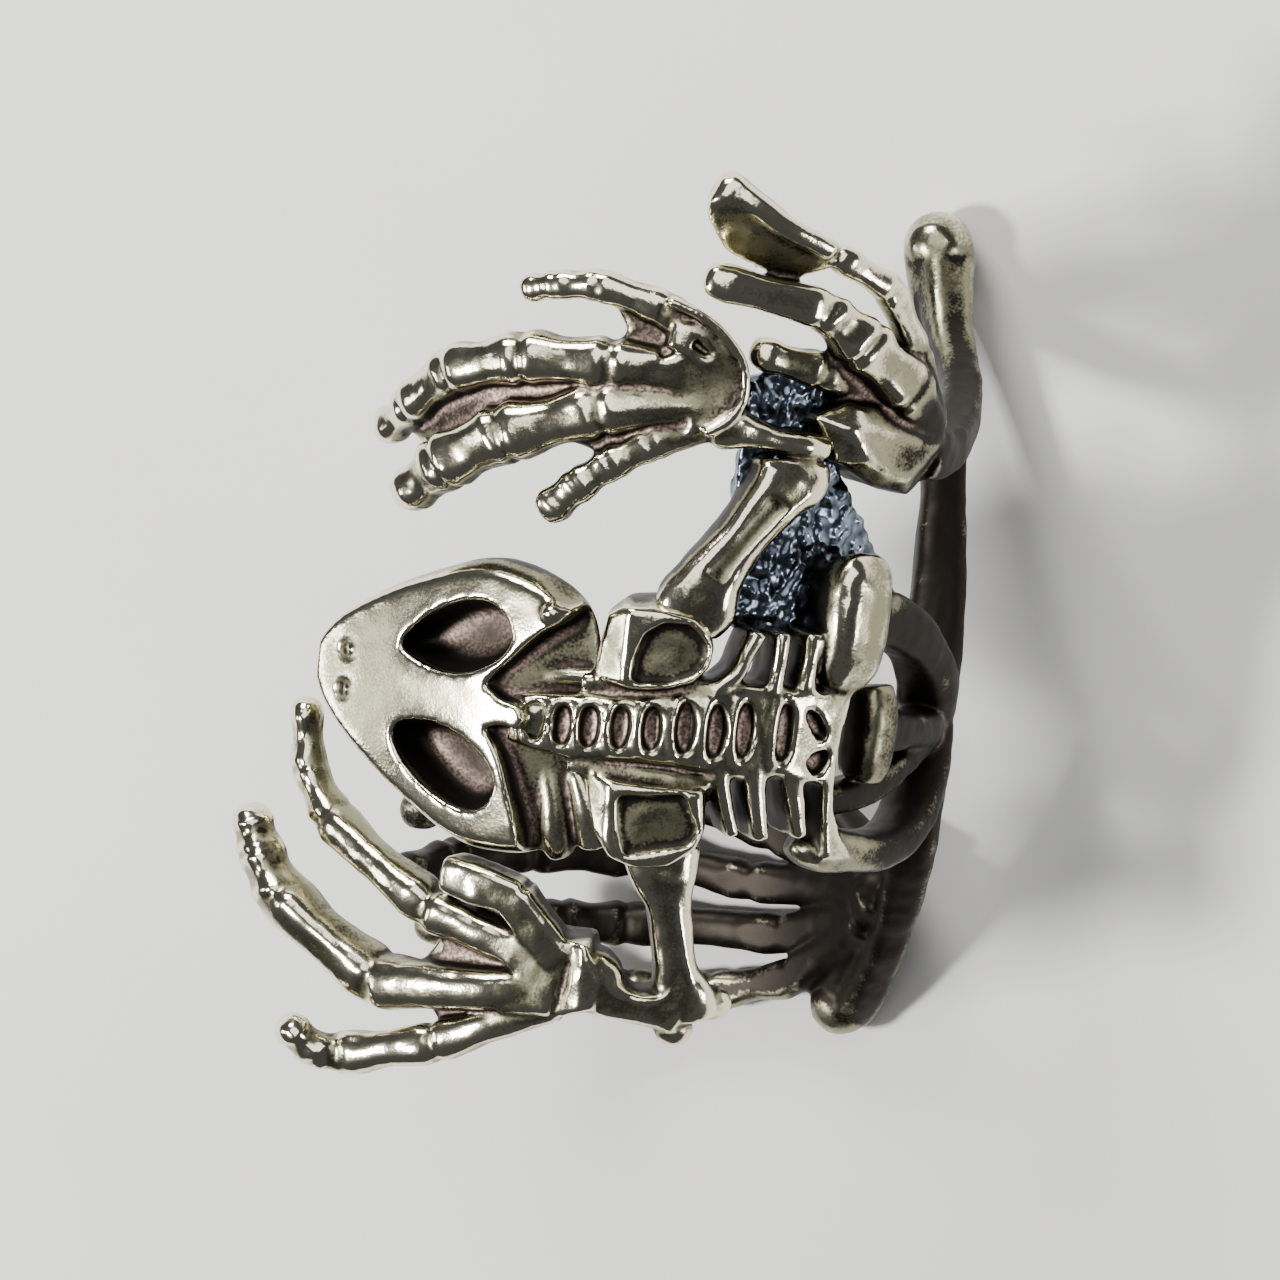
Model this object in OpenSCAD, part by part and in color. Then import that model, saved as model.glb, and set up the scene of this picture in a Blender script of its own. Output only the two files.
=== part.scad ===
// Wrap ring cast as the skeleton of a frog, in one piece.
// The finger lies along Y. Z is up when the ring rests on its knees and its lower hind foot.
// A place on the ring is given by three numbers:
//   a  degrees round the finger, 0 at the middle of the spine and -75 at the snout
//   y  distance along the finger, 0 on the frog's midline
//   r  distance out from the finger's axis

/* [Finger] */
// Diameter of the finger seat
finger_d = 18.7; // [17.5:0.1:19.5]
// Length of the straight hole that clears the finger
finger_clear = 60; // [50:1:80]
// Turn round the finger that lays the ring on its knees and its lower hind foot
rest_turn = 24.5; // [20:0.5:30]

/* [Bones] */
// Outer radius of the spine and the arms
bone_r = 11.7; // [11.3:0.1:12.2]
// How much thicker a bone is at its ends than in its shaft
knuckle = 1.12; // [1:0.02:1.3]
// Thickness of a limb bone against its width
bone_depth = 1.0; // [0.8:0.05:1.2]

/* [Skull] */
// Thickness of the skull behind the eyes
skull_t = 2.3; // [1.8:0.1:3]
// Depth of the eye sockets
socket_depth = 1.5; // [0.8:0.1:1.8]
// Turn round the finger of the skull's flat top
skull_turn = -30; // [-35:1:-25]

/* [Hidden] */

seat_r = finger_d / 2;
sides = 8;
toe_sides = 6;

// Sheet metal of the blackened web between the arm and the pelvis
web_in = seat_r - 0.2;
web_out = seat_r + 0.95;

// Middle and half thickness of what lies flat on the finger
mid_r = (seat_r + bone_r) / 2;
half_t = (bone_r - seat_r) / 2;

function unit(v) = v / norm(v);
function at(a, y, r) = [r * sin(a + rest_turn), y, r * cos(a + rest_turn)];
function outward(p) = unit([p.x, 0, p.z]);
function mix(p, q, t) = p * (1 - t) + q * t;

// Stands its children on the ring: X runs round the finger, Y along it and Z outwards
module seated(a, y, r) {
    rotate([0, a + rest_turn, 0]) translate([0, y, r]) children();
}

// One ring of points round a station of a bone. A station is [a, y, r, half width, half depth]
function section(stations, i, n) =
    let (
        last = len(stations) - 1,
        s = stations[i],
        before = stations[max(i - 1, 0)],
        after = stations[min(i + 1, last)],
        p = at(s[0], s[1], s[2]),
        run = unit(at(after[0], after[1], after[2]) - at(before[0], before[1], before[2])),
        side = unit(cross(run, outward(p))),
        up = cross(side, run)
    )
    [for (k = [0:n - 1])
        let (turn = 360 * (k + 0.5) / n)
        p + side * s[3] * cos(turn) + up * s[4] * sin(turn)];

// Closed skin over rings of n points
module skin(rings) {
    n = len(rings[0]);
    last = len(rings) - 1;
    points = [for (ring = rings) each ring];
    walls = [for (i = [0:last - 1], k = [0:n - 1])
        let (j = (k + 1) % n)
        each [
            [i * n + k, i * n + j, (i + 1) * n + j],
            [i * n + k, (i + 1) * n + j, (i + 1) * n + k]
        ]];
    start = [[for (k = [0:n - 1]) n - 1 - k]];
    finish = [[for (k = [0:n - 1]) last * n + k]];
    polyhedron(points = points, faces = concat(walls, start, finish), convexity = 6);
}

// A bone through stations
module bone(stations, n = sides) {
    skin([for (i = [0:len(stations) - 1]) section(stations, i, n)]);
}

// Stations of one bone between two joints. A joint is [a, y, r, half width]
// Columns: place along the bone, width against the joint's
shaft = [
    [0.00, 0.86],
    [0.16, knuckle],
    [0.50, 0.76],
    [0.84, knuckle]
];
function bone_stations(p, q) =
    [for (row = shaft)
        let (m = mix(p, q, row[0]))
        [m[0], m[1], m[2], m[3] * row[1], m[3] * row[1] * bone_depth]];

// A finger or toe: bones between joints, with a blunt tip
module digit(joints, n = toe_sides) {
    last = len(joints) - 1;
    tip = joints[last];
    bone(
        [for (i = [0:last]) each
            i < last
                ? bone_stations(joints[i], joints[i + 1])
                : [[tip[0], tip[1], tip[2], tip[3] * 0.55, tip[3] * 0.55]]],
        n
    );
}

// A flat strap round the finger, with a rising from row to row.
// A row is [a, low y, high y, inner r, outer r, bevel]
module strap(rows) {
    skin([for (s = rows)
        [
            at(s[0], s[1], s[4] - s[5]),
            at(s[0], s[1] + s[5], s[4]),
            at(s[0], s[2] - s[5], s[4]),
            at(s[0], s[2], s[4] - s[5]),
            at(s[0], s[2], s[3]),
            at(s[0], s[1], s[3])
        ]]);
}

// A bevelled plate with its outline in the seated frame, from r = low to r = high
module plate(a, y, outline, low, high, bevel) {
    hull() {
        seated(a, y, low) linear_extrude(high - low - bevel) polygon(outline);
        seated(a, y, low) linear_extrude(high - low) offset(delta = -bevel) polygon(outline);
    }
}

// A round lump, such as the end of a bone
module lump(a, y, r, d, long = 1) {
    seated(a, y, r) hull() {
        translate([-d * (long - 1) / 2, 0, 0]) sphere(d = d, $fn = 12);
        translate([d * (long - 1) / 2, 0, 0]) sphere(d = d, $fn = 12);
    }
}

// Skull. Columns: distance forward of the neck, half width, thickness
skull_rows = [
    [-2.5, 4.1, 0.7],
    [-1.6, 4.7, 0.85],
    [-0.4, 5.15, 0.95],
    [1.2, 5.35, 1.0],
    [2.4, 5.15, 1.0],
    [3.6, 4.65, 1.0],
    [5.4, 3.75, 0.95],
    [7.0, 2.75, 0.85],
    [8.0, 2.0, 0.75],
    [8.7, 1.2, 0.6],
    [9.1, 0.6, 0.45]
];
skull_r = 12.15;
neck_x = 1.05;
// The midline rises a little towards the snout
skull_rise = 0.04;
// Columns: width and depth of the skull's outline against its half width and thickness
skull_profile = [
    [-0.70, 0],
    [-1.00, -0.32],
    [-0.96, -0.62],
    [-0.72, -1],
    [0.72, -1],
    [0.96, -0.62],
    [1.00, -0.32],
    [0.70, 0]
];

function skull_point(s, w, h) =
    let (x = neck_x - s)
    at_plane(x, w + skull_rise * s, skull_r + h);
function at_plane(x, y, h) = [
    x * cos(skull_turn + rest_turn) + h * sin(skull_turn + rest_turn),
    y,
    -x * sin(skull_turn + rest_turn) + h * cos(skull_turn + rest_turn)
];

// Eye socket seen from above. Columns: distance forward of the neck, distance from the midline
socket_outline = [
    [5.2, 1.55],
    [4.6, 2.55],
    [3.6, 3.4],
    [2.1, 4.0],
    [0.8, 3.75],
    [0.1, 3.0],
    [0.5, 1.85],
    [1.3, 1.25],
    [2.3, 1.0],
    [3.9, 1.1]
];

module eye_socket(side) {
    floor_scale = 0.74;
    cx = 2.4;
    cy = 2.4;
    top = 0.3;
    seated(skull_turn, 0, skull_r)
        translate([neck_x - cx, side * cy + skull_rise * cx, top])
        mirror([0, 0, 1])
        linear_extrude(height = socket_depth + top, scale = floor_scale)
        polygon([for (p = socket_outline) [cx - p[0], side * (p[1] - cy)]]);
}

// Hollow between the socket's rear rim and the neck, seen from above, with the same columns
temple_outline = [
    [0.85, 0.95],
    [-0.65, 2.75],
    [-1.3, 3.7],
    [-4.2, 3.6],
    [-4.2, 0.9],
    [-1.4, 0.85],
    [0.0, 0.6]
];
// Its floor falls towards the back of the skull, where it is open
temple_slope = 22;
temple_edge = 0.35;

module temple_hollow(side) {
    reach = 8;
    seated(skull_turn, 0, skull_r)
        intersection() {
            translate([neck_x, 0, -reach / 2])
                linear_extrude(reach)
                polygon([for (p = temple_outline) [-p[0], side * p[1] + skull_rise * p[0]]]);
            translate([neck_x - temple_outline[0][0], 0, -temple_edge])
                rotate([0, temple_slope, 0])
                translate([0, 0, reach / 2])
                cube([reach * 2, reach * 2, reach], center = true);
        }
}

module nostril(side) {
    ring_r = 0.42;
    seated(skull_turn, 0, skull_r - 0.12)
        translate([neck_x - 7.45, side * 0.78 + 0.4, 0]) {
            difference() {
                cylinder(h = 0.4, r1 = ring_r + 0.12, r2 = ring_r, $fn = 12);
                translate([0, 0, 0.15]) cylinder(h = 0.4, r = ring_r - 0.16, $fn = 12);
            }
            sphere(r = 0.3, $fn = 8);
        }
}

module skull() {
    difference() {
        skin([for (row = skull_rows)
            [for (p = skull_profile)
                skull_point(row[0], p[0] * row[1], p[1] * row[2] * skull_t)]]);
        for (side = [-1, 1]) {
            eye_socket(side);
            temple_hollow(side);
        }
    }
    for (side = [-1, 1]) nostril(side);
    // Neck
    bone([
        [-33, 0, 10.9, 1.0, 1.0],
        [-27, 0, 10.9, 0.85, 1.2],
        [-21, 0, 10.7, 1.2, 1.0]
    ]);
}

// Spine. Columns of spine_rows: a, low y, high y
spine_rows = [
    [-24, -1.1, 0.9],
    [-15, -1.35, 1.1],
    [0, -1.25, 1.3],
    [14, -1.3, 1.6],
    [28, -1.6, 1.9],
    [36, -2.4, 2.3]
];
// Places of the pits between the vertebrae
spine_pits = [-16.5, -10.6, -4.5, 1.5, 7.4, 12.8, 18.2, 25.8];
pit_w = 0.62;
pit_long = 2.0;
pit_depth = 0.75;

module spine() {
    bevel = 0.35;
    difference() {
        strap([for (row = spine_rows) [row[0], row[1], row[2], seat_r - 0.2, bone_r, bevel]]);
        for (a = spine_pits)
            seated(a, 0.1, bone_r - pit_depth)
                translate([-pit_w / 2, -pit_long / 2, 0])
                cube([pit_w, pit_long, 2]);
    }
}

// Ribs as stations. The upper ones end in the ledge under the web
upper_ribs = [
    [[10, 1.0], [14, 2.1], [19.5, 4.0]],
    [[24, 1.2], [24.8, 2.6], [24.6, 4.1]],
    [[31.5, 1.4], [32, 2.6], [31.6, 4.1]]
];
lower_ribs = [
    [[12.5, -1.0], [15, -2.4], [18.6, -3.9]],
    [[20.6, -1.0], [21.8, -2.5], [24.4, -4.0]],
    [[28.6, -1.2], [30, -2.6], [32.6, -4.0]]
];

module ribs() {
    for (rib = concat(upper_ribs, lower_ribs))
        bone([
            [rib[0][0], rib[0][1], mid_r, 0.5, half_t],
            [rib[1][0], rib[1][1], mid_r, 0.58, half_t],
            [rib[2][0], rib[2][1], mid_r, 0.42, half_t * 0.9]
        ], toe_sides);
    strap([
        [17.5, 3.7, 4.6, seat_r - 0.2, bone_r - 0.7, 0.2],
        [30, 3.75, 4.7, seat_r - 0.2, bone_r - 0.6, 0.2],
        [42, 3.3, 4.7, seat_r - 0.2, bone_r - 0.4, 0.2]
    ]);
}

// Sacrum, the plate behind the last vertebra, with two oval pits
module sacrum() {
    difference() {
        strap([
            [35.0, -2.3, 2.2, seat_r - 0.2, bone_r, 0.3],
            [38.6, -4.2, 3.9, seat_r - 0.2, bone_r, 0.3],
            [42.0, -4.6, 4.4, seat_r - 0.2, bone_r, 0.3],
            [43.5, -4.6, 4.4, seat_r - 0.2, bone_r - 0.2, 0.3]
        ]);
        for (side = [-1, 1])
            seated(33.6 + side * 0.4, 0.62 * side - 0.18, bone_r - 0.7)
                rotate([0, 0, side * 24])
                scale([0.55, 1, 1])
                cylinder(h = 2, r = 0.68, $fn = 12);
    }
}

// Pelvis: two blade bones that bow round a window and meet at the hips
upper_ilium = [
    [41, 4.0, mid_r, 1.05, half_t],
    [50, 4.3, mid_r, 1.15, half_t],
    [60, 3.7, mid_r, 1.1, half_t],
    [71, 2.6, mid_r, 0.95, half_t],
    [82, 1.2, mid_r, 0.95, half_t],
    [91, 0.2, mid_r, 1.3, half_t]
];
lower_ilium = [
    [41, -4.1, mid_r, 1.0, half_t],
    [52, -4.6, mid_r, 0.8, half_t],
    [65, -4.5, mid_r, 0.75, half_t],
    [77, -3.8, mid_r, 0.8, half_t],
    [86, -2.4, mid_r, 0.9, half_t],
    [92, -0.8, mid_r, 1.2, half_t]
];
urostyle = [
    [52, 0, 10.4, 0.9, 1.0],
    [64, -0.2, 10.3, 0.7, 0.85],
    [78, -0.5, 10.3, 0.75, 0.9],
    [90, -0.6, 10.4, 1.1, 1.0]
];
urostyle_brace = [
    [42, -2.6, 10.1, 0.6, 0.7],
    [56, -2.3, 10.0, 0.65, 0.7],
    [70, -1.6, 10.1, 0.55, 0.7],
    [84, -0.9, 10.3, 0.6, 0.8]
];

module pelvis() {
    bone(upper_ilium);
    bone(lower_ilium);
    bone(urostyle);
    bone(urostyle_brace, toe_sides);
    // End plate of the urostyle, standing across the window
    plate(50, -0.05, [[-0.7, -1.55], [0.7, -1.55], [0.7, 1.55], [-0.7, 1.55]], seat_r, 11.6, 0.35);
    // Horn on the upper side of the pelvis
    plate(39, 4.75, [[-1.35, -1.7], [1.45, -1.7], [1.45, 1.3], [1.0, 1.7], [-1.0, 1.7], [-1.35, 1.3]],
        seat_r, 12.5, 0.6);
    // Knob on the lower side
    plate(37.5, -4.3, [[-1.7, -0.5], [1.6, -0.7], [1.8, 0.6], [-1.3, 0.6]], seat_r, 11.5, 0.4);
}

// Blackened web behind the arm, the ribs and the foot. Columns: a, low y, high y
web_rows = [
    [13, 4.1, 12.9],
    [21, 3.9, 13.6],
    [30, 3.9, 13.8],
    [33, 3.9, 11.6],
    [39, 3.9, 9.2],
    [49, 3.9, 6.9],
    [58, 3.3, 5.0]
];

module web() {
    strap([for (row = web_rows) [row[0], row[1], row[2], web_in, web_out, 0.15]]);
}

// Shoulder blades
module shoulders() {
    plate(1, 3.15, [[-2.2, -1.4], [-2.25, -0.2], [-1.9, 1.35], [-0.9, 1.6], [1.5, 1.55], [2.2, 0.3], [1.9, -1.4]],
        seat_r, 12.2, 0.55);
    plate(0.6, -3.25, [[-2.3, 1.8], [2.3, 1.8], [2.2, -1.3], [1.7, -1.9], [-0.9, -1.9], [-2.1, 0.3]],
        seat_r, 12.1, 0.55);
    // Roots of the blades beside the spine
    for (side = [-1, 1]) lump(1, side * 1.5, mid_r, 1.7, 2.4);
}

// Arms as stations
upper_humerus = [
    [5.5, 4.2, 10.6, 1.35, 1.1],
    [7.5, 5.2, 10.7, 1.6, 1.2],
    [13, 7.3, 10.8, 1.2, 1.2],
    [18, 8.8, 10.8, 1.5, 1.25],
    [22, 9.6, 10.8, 1.95, 1.2],
    [24.5, 10.1, 10.6, 1.6, 0.9]
];
upper_forearm = [
    [7.5, 11.3, 10.6, 0.95, 1.0],
    [12, 11.1, 10.7, 0.9, 1.0],
    [19, 10.9, 10.7, 0.62, 0.95],
    [26, 10.6, 10.7, 0.65, 0.95],
    [31, 10.4, 10.6, 0.5, 0.8]
];
lower_humerus = [
    [5.5, -4.4, 10.6, 1.4, 1.1],
    [7.5, -5.6, 10.7, 1.15, 1.1],
    [9.5, -7.3, 10.6, 0.78, 1.0],
    [11.5, -9.0, 10.6, 0.85, 1.0],
    [13.5, -10.4, 10.6, 1.25, 1.1],
    [14, -11.0, 10.6, 1.3, 1.0]
];
lower_forearm = [
    [12, -10.9, 10.6, 0.9, 1.0],
    [6, -10.8, 10.6, 0.62, 0.9],
    [0, -10.4, 10.7, 0.58, 0.9],
    [-6, -9.6, 10.8, 0.95, 1.0],
    [-9.5, -9.2, 10.8, 1.3, 1.1]
];

// Fingers as joints: a, y, r, half width
upper_fingers = [
    [[8, 13.7, 10.6, 0.9], [-7, 15.6, 10.8, 0.75], [-19, 15.8, 10.9, 0.6], [-27, 15.5, 10.9, 0.52],
        [-33, 15.2, 10.9, 0.45]],
    [[4, 13.5, 10.6, 1.0], [-17, 13.8, 11.0, 0.8], [-31, 13.7, 11.2, 0.8], [-50, 12.6, 11.3, 0.75],
        [-60, 11.0, 11.4, 0.65], [-70, 9.0, 11.5, 0.6]],
    [[3, 12.3, 10.7, 1.1], [-20, 11.3, 11.0, 0.95], [-36, 10.1, 11.3, 0.95], [-50, 8.3, 11.6, 0.85],
        [-57, 6.9, 11.7, 0.7]],
    [[7, 11.4, 10.6, 0.95], [-8, 10.6, 10.8, 0.75], [-16, 9.2, 10.9, 0.65], [-22, 7.8, 11.0, 0.68],
        [-25, 7.3, 11.0, 0.6]]
];
lower_fingers = [
    [[-10, -8.6, 10.8, 0.9], [-24, -6.7, 10.9, 0.78], [-33, -6.3, 11.1, 0.66], [-39, -6.2, 11.3, 0.6]],
    [[-13, -9.1, 10.8, 0.9], [-42, -7.9, 11.2, 0.85], [-67, -5.5, 12.5, 0.72], [-72, -4.1, 13.1, 0.65],
        [-74, -1.9, 13.3, 0.6]],
    [[-13, -9.9, 10.8, 1.0], [-53, -11.2, 11.5, 0.95], [-69, -8.8, 14.0, 0.85], [-74, -7.2, 14.7, 0.8],
        [-76, -6.3, 14.9, 0.7]],
    [[-13, -10.4, 10.8, 0.9], [-37, -12.9, 11.0, 0.75], [-55, -14.2, 12.1, 0.78], [-58, -14.2, 13.1, 0.65],
        [-60, -13.4, 14.0, 0.6]]
];

module upper_arm() {
    bone(upper_humerus);
    bone(upper_forearm);
    lump(8.5, 11.6, 10.7, 1.8);
    strap([
        [-8, 10.6, 12.4, seat_r, bone_r - 0.1, 0.4],
        [0, 11.0, 14.0, seat_r, bone_r, 0.4],
        [6, 11.2, 14.4, seat_r, bone_r, 0.4],
        [12, 12.2, 14.0, seat_r, bone_r - 0.3, 0.4]
    ]);
    for (joints = upper_fingers) digit(joints);
}

module lower_arm() {
    bone(lower_humerus);
    bone(lower_forearm);
    lump(19, -10.0, 10.7, 1.6);
    lump(12.8, -11.2, 10.7, 1.7);
    strap([
        [-36, -11.8, -9.6, seat_r + 0.3, bone_r, 0.4],
        [-30, -11.6, -7.7, seat_r + 0.1, bone_r, 0.4],
        [-18, -11.0, -7.8, seat_r, bone_r, 0.4],
        [-10, -10.5, -8.2, seat_r, bone_r - 0.1, 0.4]
    ]);
    for (joints = lower_fingers) digit(joints);
}

// Legs as stations
upper_femur = [
    [88, 0.8, mid_r, 1.2, half_t],
    [95, 3.5, mid_r, 0.95, half_t],
    [107, 8.5, mid_r, 0.8, 1.05],
    [118, 13.5, 10.9, 0.95, 1.1],
    [124, 16.4, 11.2, 1.3, 1.3],
    [125, 17.4, 11.2, 1.1, 1.1]
];
upper_shin = [
    [122, 16.2, 11.1, 1.1, 1.2],
    [112, 13.8, 10.5, 0.85, 1.05],
    [98, 12.2, 10.3, 0.75, 0.9],
    [80, 11.0, 10.3, 0.85, 0.9],
    [64, 10.3, 10.4, 1.2, 1.0]
];
lower_femur = [
    [88, -3.0, mid_r, 1.2, half_t],
    [94, -5.6, mid_r, 0.95, half_t],
    [106, -9.0, mid_r, 0.8, 1.05],
    [119, -12.2, 10.8, 0.95, 1.15],
    [127, -13.6, 11.1, 1.3, 1.3],
    [130, -14.1, 11.1, 0.9, 0.9]
];
lower_shin = [
    [128, -13.2, 10.9, 1.1, 1.2],
    [124, -11.8, mid_r, 0.8, 1.05],
    [117, -9.9, mid_r, 0.8, 1.05],
    [110, -8.2, mid_r, 1.2, half_t]
];
upper_ankle = [
    [65, 10.1, 10.4, 1.2, 1.0],
    [56, 10.4, 10.6, 1.5, 1.15],
    [46, 11.0, 10.8, 1.25, 1.15],
    [38, 11.4, 10.8, 1.5, 1.2],
    [30, 11.9, 10.7, 0.85, 0.95]
];

// Toes as joints: a, y, r, half width
upper_toes = [
    [[55, 11.6, 10.6, 1.0], [51, 14.8, 11.0, 0.85], [40, 17.1, 11.4, 0.8], [27, 18.1, 11.2, 0.85]],
    [[50, 11.4, 10.7, 1.0], [45, 12.9, 11.1, 0.95], [26, 15.7, 11.3, 0.9], [8, 16.3, 11.3, 0.8],
        [1, 16.4, 11.1, 0.6]],
    [[48, 11.6, 10.3, 0.9], [43, 12.6, 10.3, 0.8], [28, 13.5, 10.4, 0.75], [13, 14.3, 10.3, 0.7]]
];
// The first toe ends in a broad pad
toe_pad = [
    [27, 18.0, 11.2, 0.75, 0.7],
    [22, 18.3, 11.3, 0.9, 0.75],
    [14, 18.7, 11.3, 1.4, 0.8],
    [8, 19.0, 11.2, 1.8, 0.75],
    [4, 19.3, 11.1, 1.3, 0.55]
];
lower_toes = [
    [[113, -7.6, 10.4, 1.0], [140, -5.0, 10.0, 0.75], [180, -3.4, 10.6, 0.95], [194, -3.2, 10.4, 0.85],
        [212, -3.7, 10.4, 0.8], [228, -4.6, 10.4, 0.75]],
    [[114, -8.1, 10.4, 1.0], [146, -7.3, 10.0, 0.75], [180, -6.4, 10.6, 0.95], [198, -6.4, 10.4, 0.85],
        [220, -6.9, 10.4, 0.8], [236, -7.4, 10.4, 0.75]],
    [[115, -8.5, 10.4, 1.0], [151, -9.5, 10.0, 0.75], [180, -9.3, 10.4, 0.85], [203, -9.3, 10.4, 0.85],
        [224, -9.6, 10.4, 0.8], [238, -9.9, 10.4, 0.75]],
    [[115, -9.0, 10.4, 1.0], [140, -11.3, 10.0, 0.75], [180, -12.1, 10.4, 0.85], [194, -12.2, 10.4, 0.85],
        [214, -12.2, 10.4, 0.8], [228, -12.2, 10.4, 0.75]],
    [[114, -9.4, 10.4, 1.0], [136, -12.8, 10.0, 0.75], [158, -14.3, 10.0, 0.75], [178, -14.8, 10.2, 0.8],
        [196, -14.8, 10.3, 0.78], [208, -14.6, 10.3, 0.72]]
];

module legs() {
    bone(upper_femur);
    bone(upper_shin);
    bone(lower_femur);
    bone(lower_shin);
    bone(upper_ankle);
    lump(124, 16.9, 11.2, 2.7);
    lump(127.5, -13.6, 11.1, 2.6);
    lump(112, -8.3, mid_r, 2.2);
}

module feet() {
    for (joints = upper_toes) digit(joints);
    for (joints = lower_toes) digit(joints);
    bone(toe_pad);
}

module skeleton_ring() {
    color("darkkhaki")
        difference() {
            union() {
                skull();
                spine();
                ribs();
                sacrum();
                pelvis();
                web();
                shoulders();
                upper_arm();
                lower_arm();
                legs();
                feet();
            }
            rotate([90, 0, 0])
                cylinder(h = finger_clear, r = seat_r, center = true, $fn = 72);
        }
}

skeleton_ring();
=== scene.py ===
import math

import bpy
import numpy as np
from bpy.props import FloatProperty, FloatVectorProperty, IntProperty, PointerProperty
from mathutils import Matrix, Vector


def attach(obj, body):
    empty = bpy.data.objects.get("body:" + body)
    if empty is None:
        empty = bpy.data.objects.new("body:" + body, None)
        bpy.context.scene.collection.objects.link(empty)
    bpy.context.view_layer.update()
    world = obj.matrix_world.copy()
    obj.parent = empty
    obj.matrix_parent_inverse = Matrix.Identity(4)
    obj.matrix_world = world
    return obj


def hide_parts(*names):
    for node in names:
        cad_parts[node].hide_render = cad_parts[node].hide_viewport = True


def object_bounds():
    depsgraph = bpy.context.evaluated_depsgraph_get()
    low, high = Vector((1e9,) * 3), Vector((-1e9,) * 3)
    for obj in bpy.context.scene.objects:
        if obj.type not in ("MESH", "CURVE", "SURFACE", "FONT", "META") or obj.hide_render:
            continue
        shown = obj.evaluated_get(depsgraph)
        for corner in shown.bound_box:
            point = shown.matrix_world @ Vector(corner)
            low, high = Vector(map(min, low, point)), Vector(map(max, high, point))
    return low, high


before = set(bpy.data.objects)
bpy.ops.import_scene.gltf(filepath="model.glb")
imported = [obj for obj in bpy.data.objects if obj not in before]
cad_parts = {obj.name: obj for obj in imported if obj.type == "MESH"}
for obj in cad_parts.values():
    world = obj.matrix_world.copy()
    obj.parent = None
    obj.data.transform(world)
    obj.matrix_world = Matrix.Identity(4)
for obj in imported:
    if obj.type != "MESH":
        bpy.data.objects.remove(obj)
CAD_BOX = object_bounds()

bl_info = {
    "name": "Frog Skeleton Ring",
    "version": (1, 0, 0),
    "blender": (4, 5, 0),
    "location": "View3D > Sidebar > Ring",
    "description": "Models a cast wrap ring in the form of a frog's skeleton, "
                   "with its floor, lights and camera",
    "category": "Object",
}

# The bones are laid out flat in millimetres, then rolled round the finger and scaled to metres.
# A place is (a, y, r): degrees round the finger from the middle of the spine, height along the
# finger from the frog's midline, and distance out from the finger's axis.
MM = 0.001
# Distance from the axis at which the rolled layout keeps its lengths
ROLL_R = 10.5
OUTWARD = Vector((0, 0, 1))
TAILWARD = Vector((1, 0, 0))
NODE = "skeleton_ring"


def linear(code):
    """An sRGB hex colour as linear RGB."""
    parts = [int(code[i : i + 2], 16) / 255 for i in (0, 2, 4)]
    return tuple(c / 12.92 if c <= 0.04045 else ((c + 0.055) / 1.055) ** 2.4 for c in parts)


# Sizes and colours that a user would change


class RingSizes(bpy.types.PropertyGroup):
    seat: FloatProperty(
        name="Finger seat", description="Diameter of the hollow for the finger",
        default=18.7 * MM, unit="LENGTH", subtype="DISTANCE")
    top: FloatProperty(
        name="Bone top", description="Distance of the spine's top from the finger's axis",
        default=11.7 * MM, unit="LENGTH", subtype="DISTANCE")
    turn: FloatProperty(
        name="Rest turn", description="Turn round the finger that lays the ring on its knees",
        default=math.radians(24.5), unit="ROTATION", subtype="ANGLE")
    skull_turn: FloatProperty(
        name="Skull turn", description="Turn round the finger of the skull's flat top",
        default=math.radians(-30), unit="ROTATION", subtype="ANGLE")
    grain: FloatProperty(
        name="Mesh step", description="Side of the cells that the fused casting is made of",
        default=0.095 * MM, unit="LENGTH", subtype="DISTANCE")
    polish: IntProperty(
        name="Polish", description="Smoothing steps that round the casting's edges", default=5)
    unevenness: FloatProperty(
        name="Unevenness", description="Depth of the waviness that modelling by hand leaves",
        default=0.14 * MM, unit="LENGTH", subtype="DISTANCE")


class RingFinish(bpy.types.PropertyGroup):
    bright: FloatVectorProperty(
        name="Polished brass", description="Colour of the rubbed high places",
        default=linear("EAE2C6"), subtype="COLOR", size=3)
    satin: FloatVectorProperty(
        name="Satin brass", description="Colour of the flats that the polish only greys",
        default=linear("8C8870"), subtype="COLOR", size=3)
    # The patina colour also serves as the painted shade on the ring's far side
    patina: FloatVectorProperty(
        name="Patina", description="Colour of the blackened sides and recesses",
        default=linear("2A2622"), subtype="COLOR", size=3)
    bloom: FloatVectorProperty(
        name="Copper bloom", description="Colour of the pink stipple left by the pickle on sunk floors",
        default=linear("A99286"), subtype="COLOR", size=3)
    web: FloatVectorProperty(
        name="Blackened web", description="Colour of the pebbled web",
        default=linear("828D9E"), subtype="COLOR", size=3)
    floor: FloatVectorProperty(
        name="Floor", description="Colour of the floor", default=linear("D9D8D4"), subtype="COLOR", size=3)


def sizes():
    return bpy.context.scene.ring_sizes


def finish():
    return bpy.context.scene.ring_finish


def seat_r():
    """Radius of the hollow for the finger, mm."""
    return sizes().seat / 2 / MM


def base_r():
    """Where the plates start, inside the hollow, so that cutting the seat leaves them no gap, mm."""
    return seat_r() - 0.3


def top_r():
    """Distance of the bones' tops from the axis, mm."""
    return sizes().top / MM


# Modelling tools


def ready():
    """Object mode with nothing selected."""
    if bpy.context.mode != "OBJECT":
        bpy.ops.object.mode_set(mode="OBJECT")
    bpy.ops.object.select_all(action="DESELECT")


def only(piece):
    ready()
    piece.select_set(True)
    bpy.context.view_layer.objects.active = piece


def settle(piece):
    """Applies the object's place, turn and scale to its mesh."""
    only(piece)
    bpy.ops.object.transform_apply(location=True, rotation=True, scale=True)
    return piece


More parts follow.
